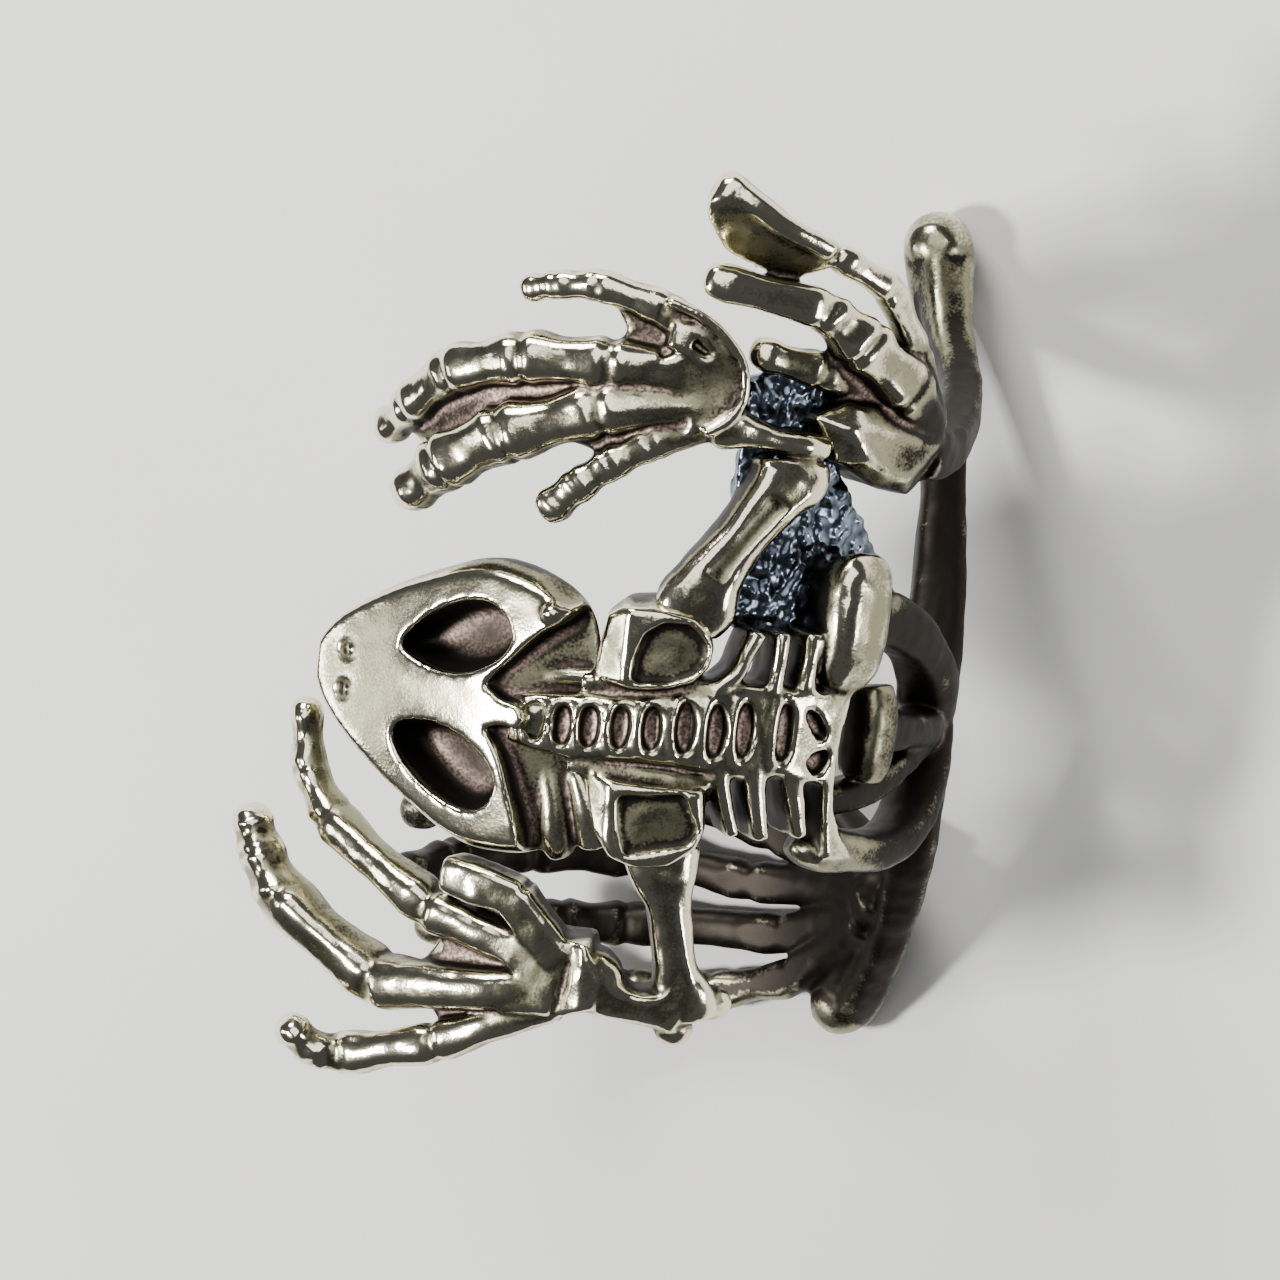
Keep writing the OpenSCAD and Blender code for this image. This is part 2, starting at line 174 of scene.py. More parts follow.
def flat(a, y, r):
    """A place on the ring in the flat layout."""
    return Vector((math.radians(a) * ROLL_R, y, r - ROLL_R))


def eased(rows, per):
    """The rows of a table with smoothly blended rows put between them."""
    rows = [np.array(row, float) for row in rows]
    last = len(rows) - 1
    out = []
    for i in range(last):
        p, q = rows[i], rows[i + 1]
        leave = (q - rows[max(i - 1, 0)]) / 2
        arrive = (rows[min(i + 2, last)] - p) / 2
        for t in (k / per for k in range(per)):
            out.append((2 * t**3 - 3 * t**2 + 1) * p + (t**3 - 2 * t**2 + t) * leave
                       + (3 * t**2 - 2 * t**3) * q + (t**3 - t**2) * arrive)
    return out + [rows[-1]]


def bridge(rings, sides, boxy):
    """Closed skin over sections of (centre, direction, half width, half depth).

    boxy is 1 for ellipses, and the lower it is, the squarer the sections are.
    """
    ready()
    # An emptied circle gives an object to add the sections to
    bpy.ops.mesh.primitive_circle_add(vertices=3, enter_editmode=True, location=(0, 0, 0))
    bpy.ops.mesh.delete(type="VERT")
    for centre, ahead, wide, deep in rings:
        side = OUTWARD.cross(ahead).normalized()
        facing = Matrix((side, ahead.cross(side), ahead)).transposed()
        bpy.ops.mesh.primitive_circle_add(
            vertices=sides, radius=1, location=centre, rotation=facing.to_euler())
        bpy.ops.transform.resize(
            value=(wide, deep, 1), orient_type="LOCAL", orient_matrix=facing,
            orient_matrix_type="LOCAL", center_override=centre)
    bpy.ops.mesh.select_all(action="SELECT")
    bpy.ops.mesh.bridge_edge_loops()
    bpy.ops.mesh.select_all(action="DESELECT")
    bpy.ops.mesh.select_non_manifold()
    bpy.ops.mesh.fill_holes(sides=0)
    bpy.ops.mesh.select_all(action="SELECT")
    bpy.ops.mesh.normals_make_consistent(inside=False)
    bpy.ops.object.mode_set(mode="OBJECT")
    made = bpy.context.active_object
    if boxy < 1:
        for i, (centre, ahead, wide, deep) in enumerate(rings):
            side = OUTWARD.cross(ahead).normalized()
            rise = ahead.cross(side)
            for v in made.data.vertices[i * sides : (i + 1) * sides]:
                u = (v.co - centre).dot(side) / wide
                w = (v.co - centre).dot(rise) / deep
                v.co = (centre + side * math.copysign(abs(u) ** boxy, u) * wide
                        + rise * math.copysign(abs(w) ** boxy, w) * deep)
    return made


def tube(stations, sides=20, boxy=0.62, per=4):
    """A bone through stations of (x, y, z, half width, half depth)."""
    stations = eased(stations, per)
    places = [Vector(row[:3]) for row in stations]
    last = len(places) - 1
    ways = [(places[min(i + 1, last)] - places[max(i - 1, 0)]).normalized() for i in range(last + 1)]
    return bridge([(p, w, row[3], row[4]) for p, w, row in zip(places, ways, stations)], sides, boxy)


def bone(stations, **shape):
    """A bone through stations of (a, y, r, half width, half depth)."""
    return tube([tuple(flat(*row[:3])) + tuple(row[3:]) for row in stations], **shape)


# Outline of one bone between two joints: place along it, width against the joint's
SHAFT = ((0.0, 0.92), (0.06, 1.03), (0.14, 1.1), (0.28, 1.0), (0.46, 0.91),
         (0.62, 0.93), (0.78, 1.04), (0.88, 1.11), (0.95, 1.05))
# The first bone grows out of the palm or foot without a joint
ROOT = ((0.0, 1.0), (0.3, 0.95), (0.6, 0.94), (0.8, 1.02), (0.92, 1.1))
# Blunt tip: place beyond the last joint and width, both against the joint's half width
TIP = ((0.0, 1.0), (0.35, 0.9), (0.6, 0.6), (0.7, 0.3))


def digit(joints, boxy=0.74):
    """A finger or toe through joints of (a, y, r, half width)."""
    stations = []
    for p, q in zip(joints, joints[1:]):
        for t, swell in SHAFT if stations else ROOT:
            a, y, r, half = (u + (v - u) * t for u, v in zip(p, q))
            stations.append((a, y, r, half * swell, half * swell))
    long = (flat(*q[:3]) - flat(*p[:3])).length
    for t, swell in TIP:
        a, y, r = (v + (v - u) * t * q[3] / long for u, v in zip(p[:3], q[:3]))
        stations.append((a, y, r, q[3] * swell, q[3] * swell))
    return bone(stations, boxy=boxy, per=1)


def band(rows):
    """A flat strap from rows of (a, low y, high y, inner r, outer r)."""
    return bridge([
        (flat(a, (low + high) / 2, (inner + outer) / 2), TAILWARD, (high - low) / 2, (outer - inner) / 2)
        for a, low, high, inner, outer in eased(rows, 3)], sides=32, boxy=0.25)


def outline(points):
    """An outline of (a, y) in the flat layout."""
    return [tuple(flat(a, y, ROLL_R).xy) for a, y in points]


def prism(points, low, high, steps=((1.0, 1.0),)):
    """An outline in the flat layout raised from low to high. steps: share of the height, width."""
    ready()
    bpy.ops.mesh.primitive_circle_add(vertices=len(points), fill_type="NGON", location=(0, 0, 0))
    made = bpy.context.active_object
    for v, (x, y) in zip(made.data.vertices, points):
        v.co = (x, y, low)
    centre = sum((v.co for v in made.data.vertices), Vector()) / len(points)
    bpy.ops.object.mode_set(mode="EDIT")
    bpy.ops.mesh.select_all(action="SELECT")
    done, wide = 0.0, 1.0
    for share, width in steps:
        bpy.ops.mesh.extrude_region_move(
            TRANSFORM_OT_translate={"value": (0, 0, (share - done) * (high - low))})
        bpy.ops.transform.resize(value=(width / wide, width / wide, 1), center_override=centre)
        done, wide = share, width
    bpy.ops.mesh.select_all(action="SELECT")
    bpy.ops.mesh.normals_make_consistent(inside=False)
    bpy.ops.object.mode_set(mode="OBJECT")
    return made


def plate(points, low_r, high_r, steps=((0.8, 1.0), (1.0, 0.9))):
    """A plate with its outline given in (a, y), between two distances from the axis."""
    return prism(outline(points), low_r - ROLL_R, high_r - ROLL_R, steps)


def shave(piece, place, facing):
    """Cuts off what lies beyond a slanting face."""
    only(piece)
    bpy.ops.object.mode_set(mode="EDIT")
    bpy.ops.mesh.select_all(action="SELECT")
    bpy.ops.mesh.bisect(plane_co=place, plane_no=facing, use_fill=True, clear_outer=True)
    bpy.ops.object.mode_set(mode="OBJECT")
    return piece


def sphere(centre, scale):
    ready()
    bpy.ops.mesh.primitive_uv_sphere_add(
        segments=24, ring_count=14, radius=1, location=centre, scale=scale)
    return settle(bpy.context.active_object)


def lump(a, y, r, half, long=1.0, high=1.0):
    """A rounded lump, or a dish where it is cut out."""
    return sphere(flat(a, y, r), (half * long, half, half * high))


def join(parts):
    ready()
    for part in parts:
        part.select_set(True)
    bpy.context.view_layer.objects.active = parts[0]
    if len(parts) > 1:
        bpy.ops.object.join()
    return bpy.context.active_object


def modify(piece, kind, **settings):
    """Adds a modifier and applies it."""
    only(piece)
    modifier = piece.modifiers.new(kind.title(), kind)
    for key, value in settings.items():
        setattr(modifier, key, value)
    bpy.ops.object.modifier_apply(modifier=modifier.name)
    return piece


def mesh_step():
    return sizes().grain / MM * 1


def fuse(piece):
    """Makes one closed skin of overlapping parts."""
    return modify(piece, "REMESH", mode="VOXEL", voxel_size=mesh_step(), adaptivity=0)


def carve(piece, cutter):
    """Cuts one piece out of another, and removes it."""
    modify(piece, "BOOLEAN", operation="DIFFERENCE", object=cutter, solver="MANIFOLD")
    bpy.data.objects.remove(cutter)


def roll(piece):
    """Bends the flat layout round the finger's axis, with Z up as the ring rests."""
    piece.rotation_euler = (0, math.radians(90), 0)
    settle(piece)
    heights = [v.co.z for v in piece.data.vertices]
    arc = (max(heights) - min(heights)) / ROLL_R
    modify(piece, "SIMPLE_DEFORM", deform_method="BEND", deform_axis="Y", angle=-arc)
    piece.location = (ROLL_R, 0, 0)
    settle(piece)
    piece.rotation_euler = (0, sizes().turn - math.radians(90), 0)
    settle(piece)


# Longer than the ring is along the finger, mm
CUTTER_LENGTH = 60


def seat_cutter():
    """The straight hollow for the finger."""
    ready()
    bpy.ops.mesh.primitive_cylinder_add(
        vertices=200, radius=seat_r(), depth=CUTTER_LENGTH, rotation=(math.radians(90), 0, 0))
    return settle(bpy.context.active_object)


# Size of the waves that modelling by hand leaves, and size and height of the web's pebbles, mm
WAVE_SIZE = 1.3
PEBBLE_SIZE = 0.45
PEBBLE_HEIGHT = 0.3


def model_by_hand(piece, share):
    """Gives the skin a slight waviness, as wax worked by hand has."""
    waves = bpy.data.textures.get("waves") or bpy.data.textures.new("waves", "CLOUDS")
    waves.noise_scale = WAVE_SIZE
    waves.noise_depth = 2
    modify(piece, "DISPLACE", texture=waves, texture_coords="LOCAL", mid_level=0.5,
           strength=sizes().unevenness / MM * share)


def pebble(piece):
    """Raises pebbles on the skin."""
    cells = bpy.data.textures.get("pebbles") or bpy.data.textures.new("pebbles", "VORONOI")
    cells.noise_scale = PEBBLE_SIZE
    # The texture is lowest in the middle of each cell, and a negative strength turns that into a top
    modify(piece, "DISPLACE", texture=cells, texture_coords="LOCAL", mid_level=0.5,
           strength=-PEBBLE_HEIGHT)


# How far round a point the relief looks, and the height that adds a full step of it, mm
RELIEF = ((0.5, 0.24), (1.1, 0.7))


def mark_wear(piece):
    """Stores what the polishing wheel met.

    relief is 1 on ridges and 0 in hollows, and outward is 1 where the skin faces away from the finger.
    """
    mesh = piece.data
    count = len(mesh.vertices)
    place = np.empty(count * 3)
    mesh.vertices.foreach_get("co", place)
    place = place.reshape(-1, 3)
    normal = np.empty(count * 3, np.float32)
    mesh.vertex_normals.foreach_get("vector", normal)
    normal = normal.reshape(-1, 3)
    edges = np.empty(len(mesh.edges) * 2, np.int32)
    mesh.edges.foreach_get("vertices", edges)
    one, two = edges.reshape(-1, 2).T
    degree = np.bincount(edges, minlength=count)[:, None]
    soft = place.copy()
    relief = np.full(count, 0.5)
    done = 0
    for reach, depth in RELIEF:
        steps = round((reach / mesh_step()) ** 2)
        for _ in range(steps - done):
            around = np.stack([np.bincount(one, soft[two, k], count) + np.bincount(two, soft[one, k], count)
                               for k in range(3)], 1)
            soft = 0.5 * soft + 0.5 * around / degree
        done = steps
        relief += ((place - soft) * normal).sum(1) / depth
    radial = place * (1, 0, 1)
    radial /= np.linalg.norm(radial, axis=1)[:, None]
    for name, value in (("relief", relief), ("outward", (radial * normal).sum(1))):
        layer = mesh.attributes.new(name, "FLOAT", "POINT")
        layer.data.foreach_set("value", np.clip(value, 0, 1).astype(np.float32))


def cast(name, parts, hollows=(), rolled=True, material=None, wavy=1.0, pebbled=False):
    """Fuses parts into one casting, cuts its hollows, rolls it round the finger and cuts the seat."""
    piece = fuse(join(parts))
    if hollows:
        carve(piece, fuse(join(hollows)))
    if rolled:
        roll(piece)
    model_by_hand(piece, wavy)
    if pebbled:
        pebble(piece)
    carve(piece, seat_cutter())
    fuse(piece)
    modify(piece, "SMOOTH", factor=0.5, iterations=sizes().polish)
    piece.name = piece.data.name = name
    mark_wear(piece)
    piece.scale = (MM,) * 3
    settle(piece)
    bpy.ops.object.shade_smooth()
    piece.data.materials.clear()
    piece.data.materials.append(material or antiqued_brass())
    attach(piece, "root")
    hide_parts(NODE)


# Materials


def add_node(tree, kind, inputs=None, stops=(), **settings):
    """Adds a node with its settings, and its inputs given as values or as sockets to link.

    stops are a colour ramp's, as (place, colour or grey).
    """
    node = tree.nodes.new(kind)
    for key, value in settings.items():
        setattr(node, key, value)
    for key, value in (inputs or {}).items():
        if isinstance(value, bpy.types.NodeSocket):
            tree.links.new(value, node.inputs[key])
        else:
            node.inputs[key].default_value = value
    for _ in stops[2:]:
        node.color_ramp.elements.new(1.0)
    for i, (place, colour) in enumerate(stops):
        element = node.color_ramp.elements[i]
        element.position = place
        element.color = (colour,) * 3 + (1,) if isinstance(colour, float) else tuple(colour) + (1,)
    return node


def weigh(tree, operation, value, causes):
    """Adds causes to a value, or multiplies it by them.

    Each cause is (measure, low, high, share at low, share at high), and is held at its ends.
    """
    for measure, low, high, at_low, at_high in causes:
        share = add_node(tree, "ShaderNodeMapRange", {
            "Value": measure, "From Min": low, "From Max": high, "To Min": at_low, "To Max": at_high})
        value = add_node(
            tree, "ShaderNodeMath", {0: value, 1: share.outputs["Result"]}, operation=operation).outputs[0]
    return value


def new_material(name):
    """An empty material, with its tree, its shader and the place that its patterns read, in metres."""
    material = bpy.data.materials.new(name)
    material.use_nodes = True
    tree = material.node_tree
    tree.nodes.clear()
    shader = add_node(tree, "ShaderNodeBsdfPrincipled")
    add_node(tree, "ShaderNodeOutputMaterial", {"Surface": shader.outputs[0]})
    return material, tree, shader, add_node(tree, "ShaderNodeTexCoord").outputs["Object"]


# Patterns, per metre: patches rubbed unevenly, about 1.5 mm across, the casting's grains of about
# 0.12 mm, the web's fine pebbles of about 0.4 mm, and the floor's mottling of about 17 mm
PATCH_SCALE = 650.0
GRAIN_SCALE = 8000.0
FINE_PEBBLE_SCALE = 2600.0
MOTTLE_SCALE = 60.0
# Turn round the finger, from the spine, of the side that is left lit; painted shade darkens the ring's far
# side from it
POLISHED_FROM = math.radians(-20)
# The least that the missed wear and the painted shade add to a place, so that even the far side has its
# highest
MOST_MISSED = -0.66


def antiqued_brass():
    """Cast yellow brass, blackened all over, then rubbed bright on its high places, with painted shade on the
    ring's far side.
    """
    found = bpy.data.materials.get("antiqued_cast_brass")
    if found:
        return found
    # Shows as bright warm ridges, greenish grey flats with soft sheen, brown-black hollows and painted shade
    # darkening the far side
    look = finish()
    material, tree, shader, place = new_material("antiqued_cast_brass")
    relief = add_node(tree, "ShaderNodeAttribute", attribute_name="relief").outputs["Fac"]
    outward = add_node(tree, "ShaderNodeAttribute", attribute_name="outward").outputs["Fac"]
    across = add_node(tree, "ShaderNodeVectorMath", {0: place, 1: (1, 0, 1)}, operation="MULTIPLY").outputs[0]
    # Distance from the finger's axis: the proudest parts are rubbed most
    from_axis = add_node(tree, "ShaderNodeVectorMath", {0: across}, operation="LENGTH").outputs["Value"]
    # Painted shade: the far side of the ring, away from the skull and the hands, is darkened as if it lay in
    # shadow
    turn = sizes().turn + POLISHED_FROM
    towards = add_node(tree, "ShaderNodeVectorMath", {0: across, 1: (math.sin(turn), 0, math.cos(turn))},
                       operation="DOT_PRODUCT").outputs["Value"]
    # The ends of the ring are rubbed by the next fingers
    along = add_node(tree, "ShaderNodeSeparateXYZ", {"Vector": place}).outputs["Y"]
    end = add_node(tree, "ShaderNodeMath", {0: along}, operation="ABSOLUTE").outputs[0]
    patches, grains = (
        add_node(tree, "ShaderNodeTexNoise", {
            "Vector": place, "Scale": scale, "Detail": detail}).outputs["Fac"]
        for scale, detail in ((PATCH_SCALE, 3.0), (GRAIN_SCALE, 2.0)))
    # Darkening: the bones' sides that the wheel missed, places that lie close to the finger, and painted
    # shade on the far side
    missed = weigh(tree, "ADD", 0.0, (
        (outward, 0.1, 0.7, -0.3, 0.0),
        (towards, 2.0 * MM, 7.2 * MM, -0.7, 0.0),
        (from_axis, 9.6 * MM, 11.5 * MM, -0.7, 0.0)))
    missed = add_node(tree, "ShaderNodeMath", {0: missed, 1: MOST_MISSED}, operation="MAXIMUM").outputs[0]
    # Near the ring's ends the missed wear and the painted shade are both cut back
    missed = weigh(tree, "MULTIPLY", missed, ((end, 12.5 * MM, 15.5 * MM, 1.0, 0.3),))
    worn = add_node(tree, "ShaderNodeMath", {0: relief, 1: missed}, operation="ADD").outputs[0]
    worn = weigh(tree, "ADD", worn, (
        (patches, 0.3, 0.7, -0.07, 0.07),
        (from_axis, 11.5 * MM, 12.2 * MM, 0.0, 0.04),
        (grains, 0.3, 0.7, -0.07, 0.07)))
    # Low values give the patina colour, which on the far side is painted shade
    colour = add_node(tree, "ShaderNodeValToRGB", {"Fac": worn}, (
        (0.10, look.patina), (0.26, look.patina), (0.44, look.satin), (0.60, look.satin),
        (0.78, look.bright)))
    # Stippled bloom on the sunk floors, which face outwards but lie low, and less in the deepest
    amount = weigh(tree, "MULTIPLY", 1.0, (
        (grains, 0.42, 0.58, 0.3, 1.0),
        (relief, 0.12, 0.4, 1.0, 0.0),
        (outward, 0.7, 0.92, 0.0, 0.95),
        (from_axis, 10.9 * MM, 11.3 * MM, 0.45, 1.0),
        (from_axis, 11.5 * MM, 11.7 * MM, 1.0, 0.0)))
    mixed = add_node(tree, "ShaderNodeMix", {
        "Factor": amount, 6: colour.outputs["Color"], 7: tuple(look.bloom) + (1,)}, data_type="RGBA")
    tree.links.new(mixed.outputs[2], shader.inputs["Base Color"])
    rough = add_node(tree, "ShaderNodeValToRGB", {"Fac": worn}, (
        (0.2, 0.5), (0.46, 0.34), (0.58, 0.24), (0.72, 0.13)))
    tree.links.new(rough.outputs["Color"], shader.inputs["Roughness"])
    shader.inputs["Metallic"].default_value = 1.0
    bump = add_node(tree, "ShaderNodeBump", {"Strength": 0.28, "Distance": 0.02 * MM, "Height": grains})
    tree.links.new(bump.outputs["Normal"], shader.inputs["Normal"])
    return material


def blackened_web():
    """Brass oxidised blue-black, pebbled by the wax it was cast from."""
    # Shows as glints on steel-blue pebbles, blacker in the furrows between them
    look = finish()
    material, tree, shader, place = new_material("pebbled_blackened_brass")
    pebbles = add_node(tree, "ShaderNodeTexVoronoi", {"Vector": place, "Scale": FINE_PEBBLE_SCALE},
                       feature="SMOOTH_F1").outputs["Distance"]
    shade = add_node(tree, "ShaderNodeValToRGB", {"Fac": pebbles}, (
        (0.25, look.web), (0.7, tuple(c * 0.15 for c in look.web))))
    tree.links.new(shade.outputs["Color"], shader.inputs["Base Color"])
    shader.inputs["Metallic"].default_value = 1.0
    shader.inputs["Roughness"].default_value = 0.24
    bump = add_node(tree, "ShaderNodeBump", {
        "Strength": 1.0, "Distance": 0.14 * MM, "Height": pebbles}, invert=True)
    tree.links.new(bump.outputs["Normal"], shader.inputs["Normal"])
    return material


def pale_floor():
    """Matt painted board."""
    # Shows as an even pale grey, faintly mottled, with no glare
    look = finish()
    material, tree, shader, place = new_material("matt_painted_board")
    mottle = add_node(tree, "ShaderNodeTexNoise", {"Vector": place, "Scale": MOTTLE_SCALE, "Detail": 3.0})
    shade = add_node(tree, "ShaderNodeValToRGB", {"Fac": mottle.outputs["Fac"]}, (
        (0.3, tuple(c * 0.97 for c in look.floor)), (0.7, look.floor)))
    tree.links.new(shade.outputs["Color"], shader.inputs["Base Color"])
    shader.inputs["Roughness"].default_value = 0.75
    return material


# Skull. Its points lie on a slanting plane: s forward of the neck, y across, h above the plane

SKULL_R = 12.15
NECK_X = 1.05
# How much the midline leans across for each millimetre forward
SKULL_RISE = 0.04
# The flat top's level above the plane
FLAT_H = 0.06
# Radius of the dome that the polish leaves on the flat top, and where it is highest
DOME_R = 36
DOME_S = 0.5
# s, half width, half depth
SKULL_ROWS = (
    (-2.75, 3.4, 1.2), (-2.3, 4.2, 1.6), (-1.6, 4.75, 1.85), (-0.4, 5.2, 2.0), (1.2, 5.4, 2.05),
    (2.4, 5.2, 2.05), (3.6, 4.7, 2.0), (5.4, 3.8, 1.9), (7.0, 2.8, 1.7), (8.0, 2.05, 1.5),
    (8.7, 1.3, 1.15), (9.05, 0.7, 0.8))
# Eye sockets, both given as if they lay on the upper side
UPPER_SOCKET = ((5.15, 1.6), (4.4, 2.5), (3.6, 3.2), (2.6, 3.75), (1.6, 4.0), (0.8, 3.85), (0.15, 3.35),
                (0.0, 2.8), (0.3, 2.1), (1.15, 1.4), (2.2, 0.95), (3.4, 0.88), (4.4, 1.1), (5.0, 1.3))
LOWER_SOCKET = ((5.15, 1.75), (4.95, 2.35), (4.2, 3.05), (3.2, 3.6), (2.2, 3.95), (1.2, 4.0), (0.5, 3.6),
                (0.1, 2.9), (0.3, 2.1), (1.15, 1.4), (2.2, 0.95), (3.4, 0.88), (4.4, 1.08), (4.95, 1.35))
# Hollows between the sockets' rear rims and the neck's ridge, open at the back
UPPER_TEMPLE = ((1.05, 0.92), (0.5, 1.6), (-0.1, 2.27), (-0.6, 2.85), (-1.1, 3.35), (-1.7, 3.75),
                (-2.05, 4.2), (-2.2, 6.0), (-4.6, 6.0), (-4.6, -0.1), (-0.8, -0.1), (-0.5, 0.45), (0.3, 0.52))
LOWER_TEMPLE = ((0.9, 0.6), (0.5, 1.1), (0.15, 1.6), (-0.1, 2.2), (-0.3, 2.8), (-0.55, 3.5), (-0.75, 4.3),
                (-0.9, 6.0), (-4.6, 6.0), (-4.6, -0.1), (-0.8, -0.1), (-0.5, 0.4), (0.2, 0.42))
# The temples' floors slope down to the back from an edge at their tips, which lie this far forward
TEMPLE_TIP = 1.0
TEMPLE_EDGE = 0.32
TEMPLE_SLOPE = math.radians(21)
# The cutters of the hollows reach from above the skull down to these levels
CUT_FROM = 0.7
SOCKET_FLOOR = -1.75
TEMPLE_FLOOR = -3.6
NOSTRIL_S = 7.4
NOSTRIL_Y = 0.76
# Stations of (behind the neck, y, h, half width, half depth). The neck's ridge falls from between the
# temples to the first vertebra
NECK_RIDGE = ((-1.2, 0.15, -0.95, 0.42, 0.9), (-0.3, 0.08, -0.97, 0.55, 0.9), (0.2, 0.0, -1.12, 0.72, 0.85),
              (0.6, -0.05, -1.35, 0.9, 0.8), (0.9, -0.1, -1.75, 1.0, 0.7))
TEMPLE_FOLDS = (
    ((0.9, -1.5, -1.9, 0.5, 0.7), (1.3, -3.0, -2.0, 0.75, 0.8), (1.5, -4.4, -2.1, 0.7, 0.8),
     (1.5, -5.1, -2.4, 0.45, 0.6)),
    ((2.1, -1.9, -2.2, 0.5, 0.7), (2.6, -3.2, -2.3, 0.7, 0.75), (2.8, -4.6, -2.6, 0.6, 0.7)),
    ((0.3, 1.3, -1.4, 0.25, 0.4), (1.4, 1.6, -1.6, 0.35, 0.45), (2.8, 1.7, -2.1, 0.4, 0.5)))


def on_skull(points, side):
    """Outline points of (s, y) on the skull's plane."""
    return [(NECK_X - s, side * y + SKULL_RISE * s) for s, y in points]


def skull_parts():
    head = bridge([
        (Vector((NECK_X - s, SKULL_RISE * s, -0.5 * deep)), TAILWARD, half, deep)
        for s, half, deep in eased(SKULL_ROWS, 4)], sides=48, boxy=0.8)
    shave(head, (0, 0, FLAT_H), (0, 0, 1))
    # The upper cheek runs straight back
    return [shave(head, (NECK_X + 0.6, 4.85, 0), (0.44, 0.86, 0.25))]


def skull_folds():
    """The neck's ridge, rounded folds on the temples' floors, and a boss at the upper cheek's end."""
    folds = [tube([(NECK_X + row[0],) + row[1:] for row in rows], boxy=boxy)
             for rows, boxy in [(NECK_RIDGE, 0.8)] + [(fold, 1.0) for fold in TEMPLE_FOLDS]]
    return folds + [sphere((NECK_X + 1.35, 4.0, -0.42), (0.5, 0.42, 0.5))]


def skull_hollows():
    cutters = []
    for side, eye, temple in ((1, UPPER_SOCKET, UPPER_TEMPLE), (-1, LOWER_SOCKET, LOWER_TEMPLE)):
        socket = prism(on_skull(eye, side), CUT_FROM, SOCKET_FLOOR, ((0.45, 0.97), (0.8, 0.84), (1.0, 0.6)))
        modify(socket, "SUBSURF", levels=2, render_levels=2)
        hollow = prism(on_skull(temple, side), CUT_FROM, TEMPLE_FLOOR)
        shave(hollow, (NECK_X - TEMPLE_TIP, 0, -TEMPLE_EDGE),
              (-math.sin(TEMPLE_SLOPE), 0, -math.cos(TEMPLE_SLOPE)))
        cutters += [socket, hollow]
    return cutters


def nostrils(piece):
    """Each nostril is a bead in a round dimple that is deepest towards the snout."""
    dimples, beads = [], []
    for side in (1, -1):
        x, y = NECK_X - NOSTRIL_S, side * NOSTRIL_Y + SKULL_RISE * NOSTRIL_S
        level = FLAT_H - (x - NECK_X + DOME_S) ** 2 / 2 / DOME_R
        dimples.append(sphere((x - 0.08, y, level + 0.1), (0.46, 0.42, 0.42)))
        beads.append(sphere((x + 0.1, y, level - 0.24), (0.3, 0.3, 0.3)))
    carve(piece, join(dimples))
    return join([piece] + beads)


def dome(piece):
    """Rounds the skull's flat top a little lengthwise and across, as polishing does."""
    for v in piece.data.vertices:
        v.co.z -= ((v.co.x - NECK_X + DOME_S) ** 2 + v.co.y ** 2) / 2 / DOME_R
    return piece


def place_skull(piece):
    piece.location = (0, 0, SKULL_R)
    settle(piece)
    piece.rotation_euler = (0, sizes().skull_turn + sizes().turn, 0)
    return settle(piece)


# Tables of the trunk. Bones are stations of (a, y, r, half width, half depth)

SPINE = ((-26, -1.1, 0.8), (-15, -1.35, 1.05), (-3, -1.15, 1.3), (8, -1.2, 1.7), (13, -1.35, 1.95),
         (20, -1.5, 2.05), (28, -1.35, 1.95), (36, -1.7, 2.0))
# Lens-shaped pits between the vertebrae: a, low y, high y
SPINE_PITS = ((-20.4, -0.95, 0.7), (-15.4, -1.0, 0.8), (-10.4, -0.95, 0.9), (-4.8, -0.9, 1.05),
              (0.8, -0.85, 1.2), (6.8, -0.85, 1.5), (12.4, -0.9, 1.5), (17.8, -0.9, 1.6), (25.3, -0.95, 1.6))
PIT_SHAPE = ((-1, 0), (-0.85, 0.6), (-0.35, 0.95), (0.35, 0.95), (0.85, 0.6), (1, 0),
             (0.85, -0.6), (0.35, -0.95), (-0.35, -0.95), (-0.85, -0.6))
PIT_HALF = 0.36
PIT_DEPTH = 0.34
SACRUM_PIT_DEPTH = 0.42
# How far the pits' cutters start above the bone, and their narrowing as steps for prism
PIT_ABOVE = 0.4
PIT_TAPER = ((0.5, 1.0), (1.0, 0.7))
RIBS = (
    ((11.5, 1.7, 0.4), (15.4, 2.4, 0.34), (16.9, 3.2, 0.33), (18.7, 4.0, 0.36)),
    ((22.6, 1.4, 0.45), (23.2, 2.6, 0.3), (23.5, 4.0, 0.33)),
    ((29.4, 1.4, 0.6), (29.6, 2.6, 0.36), (30.1, 4.0, 0.4)),
    ((13.8, -0.9, 0.4), (15.6, -2.3, 0.34), (17.9, -3.6, 0.28)),
    ((20.8, -0.8, 0.55), (21.8, -2.25, 0.42), (23.5, -3.7, 0.34)),
    ((27.9, -0.9, 0.5), (29.7, -2.25, 0.4), (31.5, -3.6, 0.32)))
SACRUM = ((25, 1.9), (31, 1.9), (33.2, 1.75), (35.6, 1.8), (37.5, 2.6), (38.5, 4.0), (43.5, 4.3), (41.5, 3.2),
          (39.4, 2.15), (37.9, 0.8), (37.0, -0.9), (36.9, -1.5), (37.9, -2.7), (40.4, -3.9), (43.5, -4.6),
          (36.5, -4.5), (35.6, -3.2), (34.6, -1.6), (32, -1.5), (29, -1.4), (25, -1.2))
SACRUM_PITS = (
    ((28.7, 1.12), (30.0, 1.28), (32.5, 1.0), (34.2, 0.4), (34.1, 0.0), (32.2, 0.05), (30.0, 0.6)),
    ((30.2, -0.82), (31.4, -0.48), (34.7, -0.24), (35.3, -0.66), (33.9, -1.24), (32.0, -1.3)))
